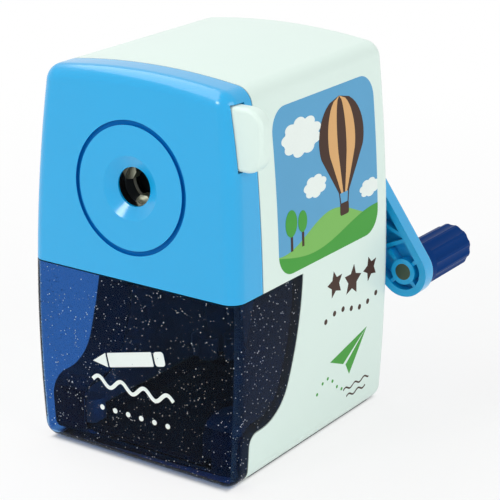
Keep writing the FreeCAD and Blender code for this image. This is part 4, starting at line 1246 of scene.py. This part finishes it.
@dataclass
class FaceCarriage:
    """Blue face with its chuck, guide rods and clamp button."""

    axis: float = 77.5
    groove: Flat = (16.4, 17.95)
    depth: Flat = (0.12, 1.3)

    def build(self) -> None:
        """Dress the face and all that slides with it."""
        # The ring groove gets painted shade: a deeper, duller blue.
        accents = ((Palette.GROOVE_SHADE, self.in_shaded_groove),)
        smooth_skin("face_plate", Palette.SKY, "face_carriage", "sky_plastic", accents)
        smooth_skin("clamp_button", Palette.SHELL, "clamp_button", "white_shell")
        paint(Palette.BLACK, "entry_liner")
        paint(Palette.GREY, "chuck_body")
        paint(Palette.STEEL, "chuck_cover")
        paint(Palette.PLATED, "chuck_screws", "left_guide_rod", "right_guide_rod", "rod_clips")
        paint(Palette.ACETAL, "cam_ring")
        paint(Palette.JAW, "chuck_jaw_1", "chuck_jaw_2", "chuck_jaw_3")

    def in_shaded_groove(self, spot: Vector, outward: Vector) -> bool:
        """Whether a place on the face is in the ring groove, which is painted a deeper blue as shade.

        Args:
            spot: the place, in millimetres.
            outward: the outward direction there.

        Returns:
            True on the groove's floor and walls.
        """
        deep = spot.y - Drawer().face(0, spot.z, 0)[1]
        radius = math.hypot(spot.x, spot.z - self.axis)
        return self.groove[0] < radius < self.groove[1] and self.depth[0] < deep < self.depth[1]


@dataclass
class Drive:
    """Crank with its knob, and the cutter that it carries round."""

    def build(self) -> None:
        """Dress the crank, the knob and the cutter."""
        smooth_skin("crank_arm", Palette.SKY, "crank", "sky_plastic")
        smooth_skin("handle_pin", Palette.AGED, "crank", "steel")
        smooth_skin("grip_knob", Palette.NAVY, "knob", "navy_plastic")
        smooth_skin("knob_cap", Palette.NAVY, "knob", "navy_plastic")
        paint(Palette.GREY, "cutter_carrier")
        paint(Palette.STEEL, "cutter_axle", "crank_shaft")
        paint(Palette.PLATED, "crank_washer", "crank_screw")
        paint(Palette.TOOL, "helical_cutter", "cutter_pinion")


@dataclass
class Springs:
    """Feed springs on the guide rods and the spring behind the clamp button."""

    feed_wire: float = 0.6
    feed_turns: float = 13
    button_wire: float = 0.5
    button_turns: float = 7

    def build(self) -> None:
        """Wind the three springs."""
        feed = ("housing", "face_slide", Lie.REARWARD, self.feed_wire, self.feed_turns)
        button = ("face_carriage", "button_press", Lie.ACROSS, self.button_wire, self.button_turns)
        Coil("right_feed_spring", *feed).build()
        Coil("left_feed_spring", *feed).build()
        Coil("button_spring", *button).build()


@dataclass(frozen=True)
class Lamp:
    """Soft rectangular light that faces the sharpener, in metres and watts."""

    name: str
    place: Place
    size: Flat
    power: float

    def hang(self, target: Place) -> None:
        """Hang the light.

        Args:
            target: the place that it faces.
        """
        light = bpy.data.lights.new(self.name, "AREA")
        light.shape = "RECTANGLE"
        light.size, light.size_y = self.size
        light.energy = self.power
        thing = new_object(self.name, light)
        thing.location = self.place
        thing.rotation_euler = (Vector(target) - Vector(self.place)).to_track_quat("-Z", "Y").to_euler()


@dataclass
class Studio:
    """Floor, soft lights, world and the camera at the photograph's angle, in metres and degrees."""

    eye: Place = (0.271668, -0.378372, 0.213426)
    pitch: float = 19.3184
    yaw: float = 34.502
    lens: float = 128.54
    sensor: float = 36.0
    nearest: float = 0.01
    floor_half: float = 4.0
    ambient: float = 0.5
    target: Place = (0.0, 0.0, 0.05)
    lamps: tuple[Lamp, ...] = (
        Lamp("key", (-0.22, -0.8, 0.62), (0.24, 0.24), 1.95),
        Lamp("overhead", (-0.46, -0.14, 0.86), (1.2, 0.42), 3.75),
        Lamp("right_fill", (0.85, -0.1, 0.45), (0.6, 0.6), 2.7))

    def build(self) -> None:
        """Set up the stage."""
        self.floor()
        self.world()
        self.camera()
        for lamp in self.lamps:
            lamp.hang(self.target)
        bpy.context.scene.view_settings.view_transform = "Standard"

    def floor(self) -> None:
        """Lay a wide floor under the sharpener."""
        ground = bmesh.new()
        bmesh.ops.create_grid(ground, x_segments=2, y_segments=2, size=self.floor_half)
        mesh = bpy.data.meshes.new("floor")
        ground.to_mesh(mesh)
        ground.free()
        mesh.materials.append(Palette.FLOOR.material())
        new_object("floor", mesh)

    def world(self) -> None:
        """White surroundings for the lens, softer as light."""
        world = bpy.data.worlds.new("studio")
        world.use_nodes = True
        world.node_tree.nodes.clear()
        graph = Graph(world.node_tree)
        strength = self.ambient + graph.shown() * (1 - self.ambient)
        light = graph.wire("ShaderNodeBackground", None, {"Color": WHITE, "Strength": strength})
        graph.node("ShaderNodeOutputWorld", None, {"Surface": light})
        bpy.context.scene.world = world

    def camera(self) -> None:
        """Place the camera."""
        data = bpy.data.cameras.new("camera")
        data.lens = self.lens
        data.sensor_width = self.sensor
        data.clip_start = self.nearest
        eye = new_object("camera", data)
        eye.location = self.eye
        eye.rotation_euler = Euler((math.radians(90 - self.pitch), 0, math.radians(self.yaw)))
        bpy.context.scene.camera = eye


def main() -> None:
    """Build the stage and every sub-assembly in order."""
    logging.basicConfig(level=logging.INFO, format="%(name)s: %(message)s")
    for assembly in (Studio(), Housing(), Drawer(), FaceCarriage(), Drive(), Springs()):
        LOG.info("building %s", type(assembly).__name__)
        assembly.build()


if __name__ == "__main__":
    main()
